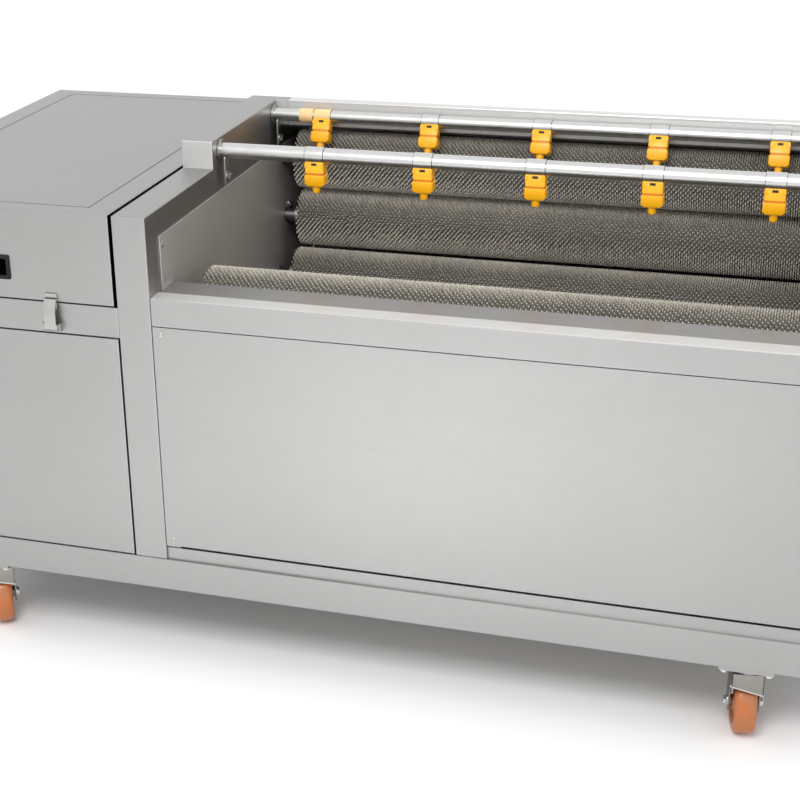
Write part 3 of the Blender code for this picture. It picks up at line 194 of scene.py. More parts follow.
def axis_along_x(name):
    """Return where a joint's axis along X crosses the plane X = 0."""
    return joint_place(name) * (0, 1, 1)


def roller_centre(number):
    """Return where a roller's axis crosses the plane X = 0."""
    return axis_along_x("roller_%d_spin" % number)


def node_box(name):
    """Return a part's lowest and highest corner as arrays."""
    low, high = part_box(name)
    return np.array(low), np.array(high)


def around(middle, half):
    """Return the span of a half width on both sides of a middle."""
    return middle - half, middle + half


def within(low, high, axis, inset):
    """Return the span between two corners along one axis, drawn in by an inset at both ends."""
    return low[axis] + inset, high[axis] - inset


def length_setting(name, description, default):
    """Return a setting that is a length."""
    return FloatProperty(name=name, description=description, default=default, unit="LENGTH")


def colour_setting(name, description, default):
    """Return a setting that is a colour."""
    return FloatVectorProperty(name=name, description=description, default=default, subtype="COLOR")


class WasherSizes(bpy.types.PropertyGroup):
    """Sizes of the visible finish."""

    fold_radius: length_setting("Fold Radius", "Rounding of the long folds in the sheet metal", 0.0018)
    ring_pitch: length_setting("Ring Pitch", "Distance between two rings of bristle tufts", 0.0042)
    tufts_per_ring: IntProperty(
        name="Tufts per Ring", description="Bristle tufts round a roller in one ring", default=32)
    tuft_width: length_setting("Tuft Width", "Width of a bristle tuft at its root", 0.0034)
    core_radius: length_setting("Core Radius", "Radius of the sleeve that the tufts stand on", 0.0430)


class WasherColours(bpy.types.PropertyGroup):
    """Main colours of the finish."""

    steel: colour_setting("Steel", "Brushed stainless sheet", (0.37, 0.366, 0.362))
    liner: colour_setting("Liner", "Wet stainless sheet in the trough", (0.47, 0.45, 0.425))
    bristle: colour_setting("Bristle", "Lit tip of a bristle tuft", (0.54, 0.505, 0.44))
    amber: colour_setting("Amber", "Moulded nozzle plastic", (0.95, 0.43, 0.002))
    tread: colour_setting("Tread", "Polyurethane of the castor wheels", (0.43, 0.115, 0.020))


class WasherStage(bpy.types.PropertyGroup):
    """Light of the stage."""

    key_power: FloatProperty(
        name="Key Power", description="Power of the high lamp before the machine", default=60.0,
        subtype="POWER")
    floor_power: FloatProperty(
        name="Floor Power", description="Power of the lamp over the floor before the machine", default=5.0,
        subtype="POWER")
    fill_strength: FloatProperty(
        name="Fill Strength", description="Brightness of the even surrounding light", default=1.12)


def arithmetic(operation, swapped=False):
    """Return a method that joins two values by a Math node; swapped puts the other value first."""
    def method(self, other):
        first, second = (other, self) if swapped else (self, other)
        return self.finish.add("ShaderNodeMath", {0: first, 1: second}, operation=operation)

    return method


class Signal:
    """A socket of a material's nodes, on which Python arithmetic adds Math nodes."""

    __add__, __radd__ = arithmetic("ADD"), arithmetic("ADD", True)
    __sub__, __rsub__ = arithmetic("SUBTRACT"), arithmetic("SUBTRACT", True)
    __mul__, __rmul__ = arithmetic("MULTIPLY"), arithmetic("MULTIPLY", True)
    __pow__, __rpow__ = arithmetic("POWER"), arithmetic("POWER", True)

    def __init__(self, finish, socket):
        self.finish = finish
        self.socket = socket


class Finish:
    """A material being made: every node but the shader comes from add()."""

    def __init__(self, name, **constants):
        self.material = bpy.data.materials.new(name)
        self.material.use_nodes = True
        self.tree = self.material.node_tree
        self.shader = self.tree.nodes["Principled BSDF"]
        self.feed(**constants)

    def put(self, socket, value):
        """Link a signal to a socket, or set the socket's own value."""
        if isinstance(value, Signal):
            self.tree.links.new(value.socket, socket)
        elif socket.type == "RGBA":
            socket.default_value = (*value, 1.0)
        else:
            socket.default_value = value

    def add(self, kind, inputs=None, output=0, **settings):
        """Add a node, make its settings, fill its sockets and return one output."""
        node = self.tree.nodes.new(kind)
        for key, value in settings.items():
            setattr(node, key, value)
        for key, value in (inputs or {}).items():
            self.put(node.inputs[key], value)
        return Signal(self, node.outputs[output])

    def noise(self, scale, detail, grain=(1.0, 1.0, 1.0)):
        """Return a noise value from 0 to 1; the grain scales the object coordinates it is read at."""
        here = self.add("ShaderNodeTexCoord", output="Object")
        place = self.add("ShaderNodeMapping", {"Vector": here, "Scale": grain})
        return self.add("ShaderNodeTexNoise", {"Vector": place, "Scale": scale, "Detail": detail})

    def ramp(self, signal, low, high):
        """Return the signal spread from 0 at low to 1 at high, and held beyond them."""
        return self.add("ShaderNodeMapRange", {"Value": signal, "From Min": low, "From Max": high})

    def blend(self, share, first, second):
        """Return the colour between two colours."""
        return self.add("ShaderNodeMix", {0: share, 6: first, 7: second}, 2, data_type="RGBA")

    def tint(self, share, colour, low, high):
        """Return a tone of the colour, from its share low to its share high."""
        return self.blend(share, scaled(colour, low), scaled(colour, high))

    def bump(self, height, strength, distance):
        """Feed a height to the shader's normal."""
        normal = self.add("ShaderNodeBump", {"Height": height, "Strength": strength, "Distance": distance})
        self.put(self.shader.inputs["Normal"], normal)

    def feed(self, **values):
        """Put values or signals into the shader's sockets by name."""
        for key, value in values.items():
            self.put(self.shader.inputs[key.replace("_", " ").title().replace("Ior", "IOR")], value)


def scaled(colour, share):
    """Return a colour with each channel times a share."""
    return tuple(min(1.0, channel * share) for channel in colour)


def brushed_steel(name, colour, roughness, grain, cloud=0.10, metallic=1.0):
    """Return brushed sheet: streaks of noise drawn out along the grain, over broad soft clouds."""
    finish = Finish(name, metallic=metallic)
    streaks = finish.noise(1.0, 3.0, grain)
    clouds = finish.noise(2.6, 2.0)
    specks = finish.noise(38.0, 3.0)
    tone = 0.5 + (streaks - 0.5) * 0.30 + (clouds - 0.5) * 0.9 + (specks - 0.5) * 0.20
    finish.feed(
        base_color=finish.tint(tone, colour, 1 - cloud, 1 + cloud),
        roughness=roughness + (streaks - 0.5) * 0.16 + (clouds - 0.5) * 0.08)
    finish.bump(streaks, 0.05, 0.0004)
    return finish.material


def polished_steel(name, colour, roughness):
    """Return bright tube or plated steel with faint handling marks."""
    finish = Finish(name, metallic=1.0)
    marks = finish.noise(60.0, 4.0)
    finish.feed(
        base_color=finish.tint(marks, colour, 0.92, 1.05),
        roughness=roughness + (marks - 0.5) * 0.14)
    finish.bump(marks, 0.03, 0.0003)
    return finish.material


def moulded_plastic(name, colour, roughness, coat=0.0, variation=0.12, specular=0.5):
    """Return moulded plastic with slow colour drift and a fine skin."""
    finish = Finish(name, coat_weight=coat, coat_roughness=0.2, specular_ior_level=specular)
    drift = finish.noise(45.0, 2.0)
    skin = finish.noise(900.0, 2.0)
    finish.feed(
        base_color=finish.tint(drift, colour, 1 - variation, 1 + variation),
        roughness=roughness + (skin - 0.5) * 0.12)
    finish.bump(skin, 0.08, 0.0002)
    return finish.material


def bristle_finish(name, colour):
    """Return bristle whose colour runs from a dark root to a lit tip, each tuft in its own tone."""
    finish = Finish(name)
    tip = finish.add("ShaderNodeAttribute", output="Fac", attribute_name="tip")
    tone = finish.add("ShaderNodeAttribute", output="Fac", attribute_name="tone")
    patches = finish.noise(7.0, 2.0)
    lit = tip ** 1.5 * (0.62 + 0.42 * tone + (patches - 0.5) * 0.5)
    finish.feed(
        base_color=finish.tint(lit, colour, 0.34, 1.20),
        roughness=0.62 - tip * 0.16)
    return finish.material


def worn_tread(name, colour):
    """Return polyurethane that is paler and rougher where scuffs have dulled it."""
    finish = Finish(name, coat_weight=0.15)
    scuffs = finish.ramp(finish.noise(55.0, 4.0), 0.42, 0.66)
    finish.feed(
        base_color=finish.blend(scuffs * 0.6, colour, (0.33, 0.155, 0.08)),
        roughness=0.36 + scuffs * 0.25)
    finish.bump(scuffs, 0.10, 0.0004)
    return finish.material


def oiled_steel(name, colour):
    """Return dark oiled chain steel with brighter rubbed places."""
    finish = Finish(name, metallic=0.9)
    rubbed = finish.ramp(finish.noise(180.0, 3.0), 0.50, 0.72)
    finish.feed(
        base_color=finish.tint(rubbed, colour, 1.0, 2.6),
        roughness=0.48 - rubbed * 0.18)
    return finish.material


def painted_casting(name, colour):
    """Return painted cast metal with an orange-peel skin."""
    finish = Finish(name, coat_weight=0.25, coat_roughness=0.25)
    peel = finish.noise(220.0, 3.0)
    dust = finish.noise(14.0, 3.0)
    finish.feed(
        base_color=finish.tint(dust, colour, 0.85, 1.2),
        roughness=0.40 + (dust - 0.5) * 0.2)
    finish.bump(peel, 0.20, 0.0004)
    return finish.material


def finishes():
    """Return every material by name, made on first use."""
    if not FINISHES:
        colours = bpy.context.scene.washer_colours
        steel, liner = tuple(colours.steel), tuple(colours.liner)
        recipes = {
            "sheet": (brushed_steel, steel, 0.40, GRAIN_X),
            # top: grain along Y and 5% darker than the sheet, painted shade on upward faces
            "top": (brushed_steel, scaled(steel, 0.95), 0.42, GRAIN_Y),
            # Steel 1.6 times as bright and half metallic: painted light on the rear rail, the end frames' forward
            # faces above the back panel and the top of the sill's lip
            "rail": (brushed_steel, scaled(steel, 1.6), 0.36, GRAIN_X, 0.06, 0.5),
            "upright": (brushed_steel, steel, 0.40, GRAIN_Z),
            "liner": (brushed_steel, liner, 0.45, LINER_GRAIN, 0.16, 0.55),
            "tray": (brushed_steel, scaled(liner, 0.8), 0.45, TRAY_GRAIN, 0.2, 0.6),
            "ledge": (brushed_steel, scaled(steel, 0.98), 0.42, GRAIN_X),
            "pipe": (polished_steel, (0.62, 0.62, 0.61), 0.30),
            "zinc": (polished_steel, (0.46, 0.455, 0.44), 0.34),
            "plated": (polished_steel, (0.30, 0.29, 0.265), 0.42),
            "bolt": (polished_steel, (0.66, 0.66, 0.65), 0.28),
            # Darker steel for the shafts, hubs, chain pins and the catch screw: painted shade
            "shaft": (polished_steel, (0.25, 0.245, 0.235), 0.38),
            "bristle": (bristle_finish, tuple(colours.bristle)),
            # core: the brush sleeves' own dark plastic and the control box's seam; on the lock it is the key
            # slot's painted shade
            "core": (moulded_plastic, (0.150, 0.140, 0.122), 0.7),
            # seam: near black; along the sill's step, at the strap ends and in the nozzle slots it is painted
            # shade
            "seam": (moulded_plastic, (0.020, 0.018, 0.016), 0.7),
            "amber": (moulded_plastic, tuple(colours.amber), 0.42, 0.1),
            # The nozzle's groove in deeper amber: painted shade in the recess
            "groove": (moulded_plastic, (0.62, 0.20, 0.002), 0.5),
            "sleeve": (moulded_plastic, (0.86, 0.58, 0.26), 0.22, 0.5),
            "tread": (worn_tread, tuple(colours.tread)),
            "black": (moulded_plastic, (0.010, 0.010, 0.011), 0.50, 0.0, 0.3, 0.2),
            "chain": (oiled_steel, (0.10, 0.095, 0.09)),
            "motor_paint": (painted_casting, (0.07, 0.13, 0.24)),
            "case_grey": (moulded_plastic, (0.44, 0.45, 0.44), 0.5),
        }
        FINISHES.update({key: make("washer_" + key, *rest) for key, (make, *rest) in recipes.items()})
    return FINISHES


def stacked(rings, loop=False):
    """Join a stack of closed rings, given as levels x points x 3, by quads between neighbours.

    Both ends are closed by a flat face, or with loop the last ring joins the first.
    """
    index = np.arange(rings[..., 0].size).reshape(rings.shape[:2])
    low = index if loop else index[:-1]
    high = np.roll(index, -1, 0) if loop else index[1:]
    quads = np.stack([low, np.roll(low, -1, 1), np.roll(high, -1, 1), high], -1).reshape(-1, 4)
    caps = [] if loop else [index[:1, ::-1], index[-1:]]
    return rings.reshape(-1, 3), [quads, *caps]


def laid(flat, height, axis):
    """Turn outline coordinates and a height into X, Y, Z with the height along an axis."""
    first, second = flat[..., 0], flat[..., 1]
    order = {"X": (height, first, second), "Y": (first, height, second), "Z": (first, second, height)}
    return np.stack(np.broadcast_arrays(*order[axis]), -1)


def circle(count):
    """Return evenly spaced directions (cos t, sin t) round a circle."""
    angle = 2 * pi * np.arange(count) / count
    return np.stack([np.cos(angle), np.sin(angle)], -1)


def turned(profile, axis="X", centre=(0, 0, 0), sides=32, loop=False):
    """Sweep a profile of (distance along the axis, radius) round the axis, radius times (cos t, sin t)."""
    profile = np.asarray(profile, float)
    rings = laid(profile[:, 1, None, None] * circle(sides), profile[:, 0, None], axis)
    return stacked(rings + np.asarray(centre, float), loop)


def rectangle(firsts, seconds):
    """Return the four corners of a rectangle between two limits each way, anticlockwise."""
    return np.array([(firsts[0], seconds[0]), (firsts[1], seconds[0]),
                     (firsts[1], seconds[1]), (firsts[0], seconds[1])], float)


def anticlockwise(outline):
    """Return the outline with its inside on the left, from the sign of its area."""
    outline = np.asarray(outline, float)
    following = np.roll(outline, -1, 0)
    area = np.sum(outline[:, 0] * following[:, 1] - following[:, 0] * outline[:, 1])
    return outline if area > 0 else outline[::-1]


def filleted(corners, radius, steps=4):
    """Round each corner of a closed outline by an arc.

    The arc's centre lies on the bisector, and its points turn evenly from one tangent point to
    the other: (sin((1 - t) a) A + sin(t a) B) / sin(a), for the two spokes A and B at angle a.
    """
    corners = anticlockwise(corners)
    back = np.roll(corners, 1, 0) - corners
    ahead = np.roll(corners, -1, 0) - corners
    back /= np.linalg.norm(back, axis=1, keepdims=True)
    ahead /= np.linalg.norm(ahead, axis=1, keepdims=True)
    half = np.arccos(np.clip(np.sum(back * ahead, 1), -1, 1)) / 2
    radius = np.broadcast_to(np.asarray(radius, float), half.shape)
    reach = (radius / np.tan(half))[:, None]
    bisector = back + ahead
    bisector /= np.linalg.norm(bisector, axis=1, keepdims=True)
    centre = corners + bisector * (radius / np.sin(half))[:, None]
    start = corners + back * reach - centre
    end = corners + ahead * reach - centre
    sweep = (pi - 2 * half)[:, None, None]
    share = np.linspace(0, 1, steps + 1)[None, :, None]
    arc = (np.sin((1 - share) * sweep) * start[:, None] + np.sin(share * sweep) * end[:, None])
    return (centre[:, None] + arc / np.sin(sweep)).reshape(-1, 2)


def rounded(firsts, seconds, radius, steps=4):
    """Return a rectangle with rounded corners."""
    return filleted(rectangle(firsts, seconds), radius, steps)


def slab(outline, low, high, axis="Z", edge=0.0, steps=2):
    """Carry an outline from low to high along an axis, with a quarter round of radius edge at each end.

    A ring at depth edge (1 - cos t) is the outline drawn in by edge (1 - sin t) along its mitres.
    """
    outline = anticlockwise(outline)
    side = np.roll(outline, -1, 0) - outline
    normal = np.stack([side[:, 1], -side[:, 0]], -1)
    normal /= np.linalg.norm(normal, axis=1, keepdims=True)
    before = np.roll(normal, 1, 0)
    mitre = (normal + before) / (1 + np.sum(normal * before, 1))[:, None]
    turn = np.linspace(0, pi / 2, steps + 1) if edge else np.array([pi / 2])
    inset = np.concatenate([1 - np.sin(turn), 1 - np.sin(turn[::-1])]) * edge
    depth = (1 - np.cos(turn)) * edge if edge else np.zeros(1)
    height = np.concatenate([low + depth, high - depth[::-1]])
    flat = outline[None] - mitre[None] * inset[:, None, None]
    return stacked(laid(flat, height[:, None], axis))


def block(xs, ys, zs, edge=0.0, steps=2):
    """Return a box with rounded edges."""
    outline = rounded(xs, ys, edge, steps) if edge else rectangle(xs, ys)
    return slab(outline, *zs, "Z", edge, steps)


def ring_wall(outer, inner, low, high, centre=(0, 0, 0), sides=32):
    """Return a ring with a bore along X, slightly relieved at its corners."""
    ease = min(0.0004, (outer - inner) / 4)
    profile = [(low, inner), (low, outer - ease), (low + ease, outer),
               (high - ease, outer), (high, outer - ease), (high, inner)]
    return turned(profile, "X", centre, sides, loop=True)


def moved(shell, matrix, offset):
    """Turn a shell by a 3 x 3 matrix and then shift it."""
    points, faces = shell
    return points @ matrix.T + offset, faces


def repeated(shell, places, angles=0.0):
    """Copy a shell to every place, each copy turned about X by its own angle."""
    points, faces = shell
    x, y, z = points.T
    angles = np.broadcast_to(angles, len(places))[:, None]
    c, s = np.cos(angles), np.sin(angles)
    copies = np.stack(np.broadcast_arrays(x, c * y - s * z, s * y + c * z), -1) + places[:, None]
    steps = np.arange(len(places))[:, None, None] * len(points)
    return copies.reshape(-1, 3), [(part[None] + steps).reshape(-1, part.shape[1]) for part in faces]


def span_at(sign, first, second, start=0.0):
    """Return the rising span between two distances from a start, on the side of the sign."""
    return sorted((start + sign * first, start + sign * second))


def turn_about(axis, angle):
    """Return the 3 x 3 rotation about an axis."""
    return np.array(Matrix.Rotation(angle, 3, axis))


def put_in_scene(name, data):
    """Return a new object that shows the data, linked to the scene."""
    item = bpy.data.objects.new(name, data)
    bpy.context.scene.collection.objects.link(item)
    return item


class Piece:
    """Shells gathered for one object, each with its finish."""

    def __init__(self, name):
        self.name = name
        self.points = []
        self.faces = []
        self.finish = []
        self.smooth = []
        self.slots = []
        self.count = 0

    def add(self, shell, finish, smooth=False):
        """Add a shell; smooth is for round surfaces."""
        points, faces = shell
        if finish not in self.slots:
            self.slots.append(finish)
        for part in faces:
            self.faces.extend((part + self.count).tolist())
            self.finish.extend([self.slots.index(finish)] * len(part))
            self.smooth.extend([smooth] * len(part))
        self.points.append(points)
        self.count += len(points)

    def turn(self, profile, finish, centre=(0, 0, 0), sides=24, axis="X"):
        """Add a profile swept round an axis."""
        self.add(turned(profile, axis, centre, sides), finish, smooth=True)

    def ring(self, outer, inner, span, finish, centre=(0, 0, 0), sides=24):
        """Add a ring with a bore along X."""
        self.add(ring_wall(outer, inner, *span, centre, sides), finish, smooth=True)

    def bolts(self, size, direction, spots, finish="zinc"):
        """Add a bolt head at every spot."""
        for spot in spots:
            for part in bolt_head(*size):
                self.add(moved(part, facing(direction), spot), finish)

    def screws(self, size, direction, spots, finish="zinc"):
        """Add a domed screw head at every spot."""
        for spot in spots:
            self.add(moved(screw_head(*size), facing(direction), spot), finish, smooth=True)

    def shift(self, turn, offset):
        """Turn all that was added by a 3 x 3 matrix and move it by an offset."""
        self.points = [points @ turn.T + offset for points in self.points]

    def make(self, body, slot, replaces=(), tidy=True):
        """Make the object, ride it on its body and give its slot; tidy merges doubles and turns faces out."""
        mesh = bpy.data.meshes.new(self.name)
        mesh.from_pydata(np.concatenate(self.points), [], self.faces)
        mesh.polygons.foreach_set("material_index", self.finish)
        mesh.polygons.foreach_set("use_smooth", self.smooth)
        for key in self.slots:
            mesh.materials.append(finishes()[key])
        if tidy:
            shape = bmesh.new()
            shape.from_mesh(mesh)
            bmesh.ops.remove_doubles(shape, verts=shape.verts, dist=1e-6)
            bmesh.ops.recalc_face_normals(shape, faces=shape.faces)
            shape.to_mesh(mesh)
            shape.free()
            mesh.set_sharp_from_angle(angle=radians(38.0))
        mesh.update()
        item = put_in_scene(self.name, mesh)
        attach(item, body)
        if replaces:
            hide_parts(*replaces)
        return item


def body_of_node(node):
    """Return the name of the body that carries a part."""
    bodies = frame["record"]["behaviour"]["bodies"]
    return next(body for body, nodes in bodies.items() if node in nodes)


def dressed_sheet(node, name, finish, others):
    """Copy a folded part, merge its triangles into flat faces and round its long outer folds.

    Each of the others is a finish, a direction and two levels: faces that look that way, with
    their middle between the levels, take that finish. Concave faces are split into convex ones,
    so that the rounding leaves their recesses open.
    """
    materials = finishes()
    shape = bmesh.new()
    shape.from_mesh(frame["nodes"][node].data)
    bmesh.ops.remove_doubles(shape, verts=shape.verts, dist=1e-5)
    bmesh.ops.dissolve_limit(shape, angle_limit=radians(1.0), verts=shape.verts, edges=shape.edges)
    radius = bpy.context.scene.washer_sizes.fold_radius
    weight = shape.edges.layers.float.new("bevel_weight_edge")
    for edge in shape.edges:
        if len(edge.link_faces) != 2 or not edge.is_convex:
            continue
        length = edge.calc_length()
        breadth = min(face.calc_area() for face in edge.link_faces) / length
        if length > FOLD_LENGTH and breadth > 4 * radius and edge.calc_face_angle() > FOLD_ANGLE:
            edge[weight] = 1.0
    bmesh.ops.connect_verts_concave(shape, faces=shape.faces)
    for face in shape.faces:
        level = face.calc_center_median().z
        face.smooth = False
        face.material_index = 0
        for index, (_, way, low, high) in enumerate(others, 1):
            if face.normal.dot(way) > 0.9 and low < level < high:
                face.material_index = index
    mesh = bpy.data.meshes.new(name)
    for key in (finish, *(other[0] for other in others)):
        mesh.materials.append(materials[key])
    shape.to_mesh(mesh)
    shape.free()
    item = put_in_scene(name, mesh)
    folds = item.modifiers.new("folds", "BEVEL")
    folds.width = radius
    folds.segments = 2
    folds.limit_method = "WEIGHT"
    folds.use_clamp_overlap = False
    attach(item, body_of_node(node))
    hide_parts(node)


def screw_head(radius, height, sides=20):
    """Return a screw head along Z on the plane at height 0.

    Its dome has the radius r cos t at the height h (0.35 + 0.65 sin t), over a short upright side.
    """
    share = np.linspace(0, pi / 2, 5)
    dome = [(height * (0.35 + 0.65 * sin(t)), radius * cos(t) + 1e-5) for t in share]
    return turned([(0.0, radius), *dome], "Z", sides=sides)


def bolt_head(radius, height):
    """Return a hexagon head on its washer, on the plane at height 0, along Z."""
    washer = turned([(0.0, radius * 1.35), (height * 0.25, radius * 1.35)], "Z", sides=20)
    return [washer, slab(radius * circle(6), height * 0.25, height, "Z", height * 0.15, 1)]


def facing(direction):
    """Return the rotation that turns +Z to a direction."""
    towards = {"-Y": ("X", pi / 2), "+X": ("Y", pi / 2), "-X": ("Y", -pi / 2), "-Z": ("X", pi),
               "+Z": ("X", 0.0)}
    return turn_about(*towards[direction])


def make_stage():
    """Make the camera at the photograph's viewpoint, the pale floor and the soft light."""
    settings = bpy.context.scene.washer_stage
    camera = put_in_scene("camera", bpy.data.cameras.new("camera"))
    camera.location = CAMERA_PLACE
    camera.rotation_euler = [radians(angle) for angle in CAMERA_TURN]
    camera.data.lens = CAMERA_LENS
    camera.data.shift_x = CAMERA_SHIFT
    bpy.context.scene.camera = camera
    bpy.context.scene.view_settings.view_transform = "Standard"
    corners = rectangle(around(0, FLOOR_REACH), around(0, FLOOR_REACH))
    mesh = bpy.data.meshes.new("studio_floor")
    mesh.from_pydata(laid(corners, np.array(0.0), "Z"), [], [(0, 1, 2, 3)])
    paper = Finish("studio_paper", roughness=0.85)
    mottle = paper.noise(3.0, 2.0)
    paper.feed(base_color=paper.blend(mottle, (0.90, 0.90, 0.90), (0.92, 0.92, 0.92)))
    mesh.materials.append(paper.material)
    floor = put_in_scene("studio_floor", mesh)
    for name, place, target, size, spread, power in (
            ("key_lamp", (0.2, -2.6, 3.0), (0.0, 0.0, 0.5), 1.2, 180.0, settings.key_power),
            ("floor_lamp", (-0.05, -1.7, 1.9), (-0.08, -1.6, 0.0), 0.6, 55.0, settings.floor_power)):
        lamp = bpy.data.lights.new(name, "AREA")
        lamp.shape = "SQUARE"
        lamp.size = size
        lamp.spread = radians(spread)
        lamp.energy = power
        holder = put_in_scene(name, lamp)
        holder.location = place
        holder.rotation_mode = "QUATERNION"
        holder.rotation_quaternion = (Vector(target) - Vector(place)).to_track_quat("-Z", "Y")
    world = bpy.data.worlds.new("studio")
    world.use_nodes = True
    background = world.node_tree.nodes["Background"]
    background.inputs["Color"].default_value = (1.0, 1.0, 1.0, 1.0)
    background.inputs["Strength"].default_value = settings.fill_strength
    bpy.context.scene.world = world


def make_sheet_metal():
    """Dress every folded part of the body, and lay the sealant along the step of the sill."""
    sill_low, sill_high = node_box("front_sill")
    # Upward faces take the top finish: painted shade, 5% darker than the sheet
    top = ("top", UP, 0.0, 1.0)
    # Forward faces of the end frames above the back panel take the bright steel, painted light
    painted_lit_fronts = ("rail", FORWARD, node_box("rear_panel")[1][2], 1.0)
    step = sill_high[2] - 0.001
    for node, name, finish, *others in (
            ("base_frame", "bottom_frame", "sheet"),
            ("left_end_frame", "left_upright", "upright", top, painted_lit_fronts),
            ("right_end_frame", "right_upright", "upright", top, painted_lit_fronts),
            ("rear_rail", "upper_rear_rail", "rail"),
            ("rear_panel", "back_panel", "sheet", top),
            # Above the step the top of the sill's lip takes the bright steel, painted light
            ("front_sill", "loading_sill", "sheet", ("ledge", UP, 0.0, step), ("rail", UP, step, 1.0)),
            ("front_panel", "lower_front_panel", "sheet"),
            ("left_end_plate", "left_liner", "liner"),
            ("right_end_plate", "right_liner", "liner"),
            ("water_tray", "drip_tray", "tray"),
            ("drive_cabinet", "cabinet_shell", "sheet"),
            ("drive_lid", "cabinet_lid", "sheet", top),
            ("cabinet_door", "cabinet_front_door", "sheet"),
            ("discharge_flap", "outlet_flap", "upright")):
        dressed_sheet(node, name, finish, others)
    step_shadow_edge = sill_low[1] + SILL_LIP
    # Near-black strip at the step between lip and ledge: painted shadow line
    step_shadow = Piece("sill_sealant")
    step_shadow.add(block((sill_low[0], sill_high[0]), (step_shadow_edge, step_shadow_edge + STEP_SHADOW_WIDTH),
                      (sill_high[2] - 0.004, sill_high[2] - 0.0012)), "seam")
    step_shadow.make("frame", "steel")


def tuft_shell(width, length):
    """Return one tuft along Z from the origin: a three-sided taper."""
    root = np.column_stack([width * TUFT_ROOT_SHARE * circle(3), np.zeros(3)])
    tip = np.column_stack([width * TUFT_TIP_SHARE * circle(3), np.full(3, length)])
    return stacked(np.stack([root, tip]))


def make_brushes():
    """Make the brush rollers: a dark sleeve with tufts in staggered rings.

    Tuft number i of ring j stands at the angle 2 pi (i + j / 2) / n, at j pitches along the roller,
    each with a little scatter. The attribute tip runs from 0 at a tuft's root to 1 at its end, and
    tone is a number from 0 to 1 for each tuft.
    """
    sizes = bpy.context.scene.washer_sizes
    low, high = node_box("brush_1")
    start, end = low[0], high[0]
    core, bore = sizes.core_radius, SHAFT_RADIUS + HAIR
    root, outer = core - SKIN, (high[2] - low[2]) / 2 - HAIR
    rings = int((end - start - sizes.tuft_width) / sizes.ring_pitch)
    ring, tuft = np.meshgrid(np.arange(rings), np.arange(sizes.tufts_per_ring), indexing="ij")
    ring, tuft = ring.ravel(), tuft.ravel()
    shell = tuft_shell(sizes.tuft_width, outer - root)
    profile = [(start, bore), (start, core - SLEEVE_EASE), (start + SLEEVE_EASE, core),
               (end - SLEEVE_EASE, core), (end, core - SLEEVE_EASE), (end, bore)]
    random = np.random.default_rng(7)
    for number in ROLLERS:
        centre = roller_centre(number)
        angle = 2 * pi * (tuft + ring / 2) / sizes.tufts_per_ring
        angle = angle + random.normal(0, ANGLE_SCATTER, ring.size)
        along = start + sizes.tuft_width / 2 + HAIR + ring * sizes.ring_pitch
        along = along + random.normal(0, RING_SCATTER, ring.size)
        stands = np.stack([along, -np.sin(angle) * root, np.cos(angle) * root], -1)
        sleeve = turned(profile, "X", centre, 32, loop=True)
        piece = Piece("brush_roller_%d" % number)
        piece.add(repeated(shell, stands + centre, angle), "bristle")
        piece.add(sleeve, "core", smooth=True)
        item = piece.make("roller_%d" % number, "bristle", ["brush_%d" % number], tidy=False)
        # Painted light: on these rollers the root of every tuft starts lighter
        root_light = ROOT_PAINTED_LIGHT.get(number, 0.0)
        bare = np.zeros(len(sleeve[0]))
        tip = np.concatenate([np.tile([root_light, root_light, root_light, 1.0, 1.0, 1.0], ring.size), bare])
        tone = np.concatenate([np.repeat(random.random(ring.size), 6), bare])
        for key, values in (("tip", tip), ("tone", tone)):
            layer = item.data.attributes.new(key, "FLOAT", "POINT")
            layer.data.foreach_set("value", values.astype(np.float32))


def add_sprocket(piece, teeth, start, centre, hub, bore):
    """Add a toothed disc in the middle of a hub that starts at a place along X.

    The rim's radius swings between root and tip as a cosine of the tooth angle, cut off flat at
    both ends of its swing.
    """
    steps, swing = 10, 0.85
    wave = np.tile(np.clip(0.5 - swing * circle(steps)[:, 0], 0, 1), teeth)
    radius = CHAIN_PITCH / (2 * sin(pi / teeth)) - ROOT_DEPTH + wave * (ROOT_DEPTH + TOOTH_HEIGHT)
    rim = radius[:, None] * circle(teeth * steps) + centre[1:]
    side = SPROCKET_WIDTH * 0.2
    piece.add(slab(rim, start + side, start + SPROCKET_WIDTH - side, "X"), "chain")
    piece.ring(hub, bore, (start, start + SPROCKET_WIDTH), "shaft", centre)


def add_rod(piece, start, end, radius, chamfer, centre):
    """Add a shaft along X with chamfered ends."""
    piece.turn([(start, radius - chamfer), (start + chamfer, radius),
                (end - chamfer, radius), (end, radius - chamfer)], "shaft", centre)


def make_shafts():
    """Make the roller shafts with their sprockets, hubs and clamping collars."""
    low, high = node_box("roller_shaft_1")
    brush_low, brush_high = node_box("brush_1")
    sprocket = joint_place("motor_output_spin")[0]
    collars = (brush_low[0] - COLLAR_LENGTH - COLLAR_GAP, brush_high[0] + COLLAR_GAP)
    for number in ROLLERS:
        centre = roller_centre(number)
        piece = Piece("shaft_%d" % number)
        add_rod(piece, low[0], high[0], SHAFT_RADIUS, SHAFT_RADIUS * 0.15, centre)
        add_sprocket(piece, ROLLER_TEETH, sprocket, centre, SHAFT_RADIUS * 1.9, SHAFT_RADIUS)
        for start in collars:
            piece.ring(SHAFT_RADIUS * 1.55, SHAFT_RADIUS, (start, start + COLLAR_LENGTH), "zinc", centre)
        piece.make("roller_%d" % number, "shaft_steel", ["roller_shaft_%d" % number])


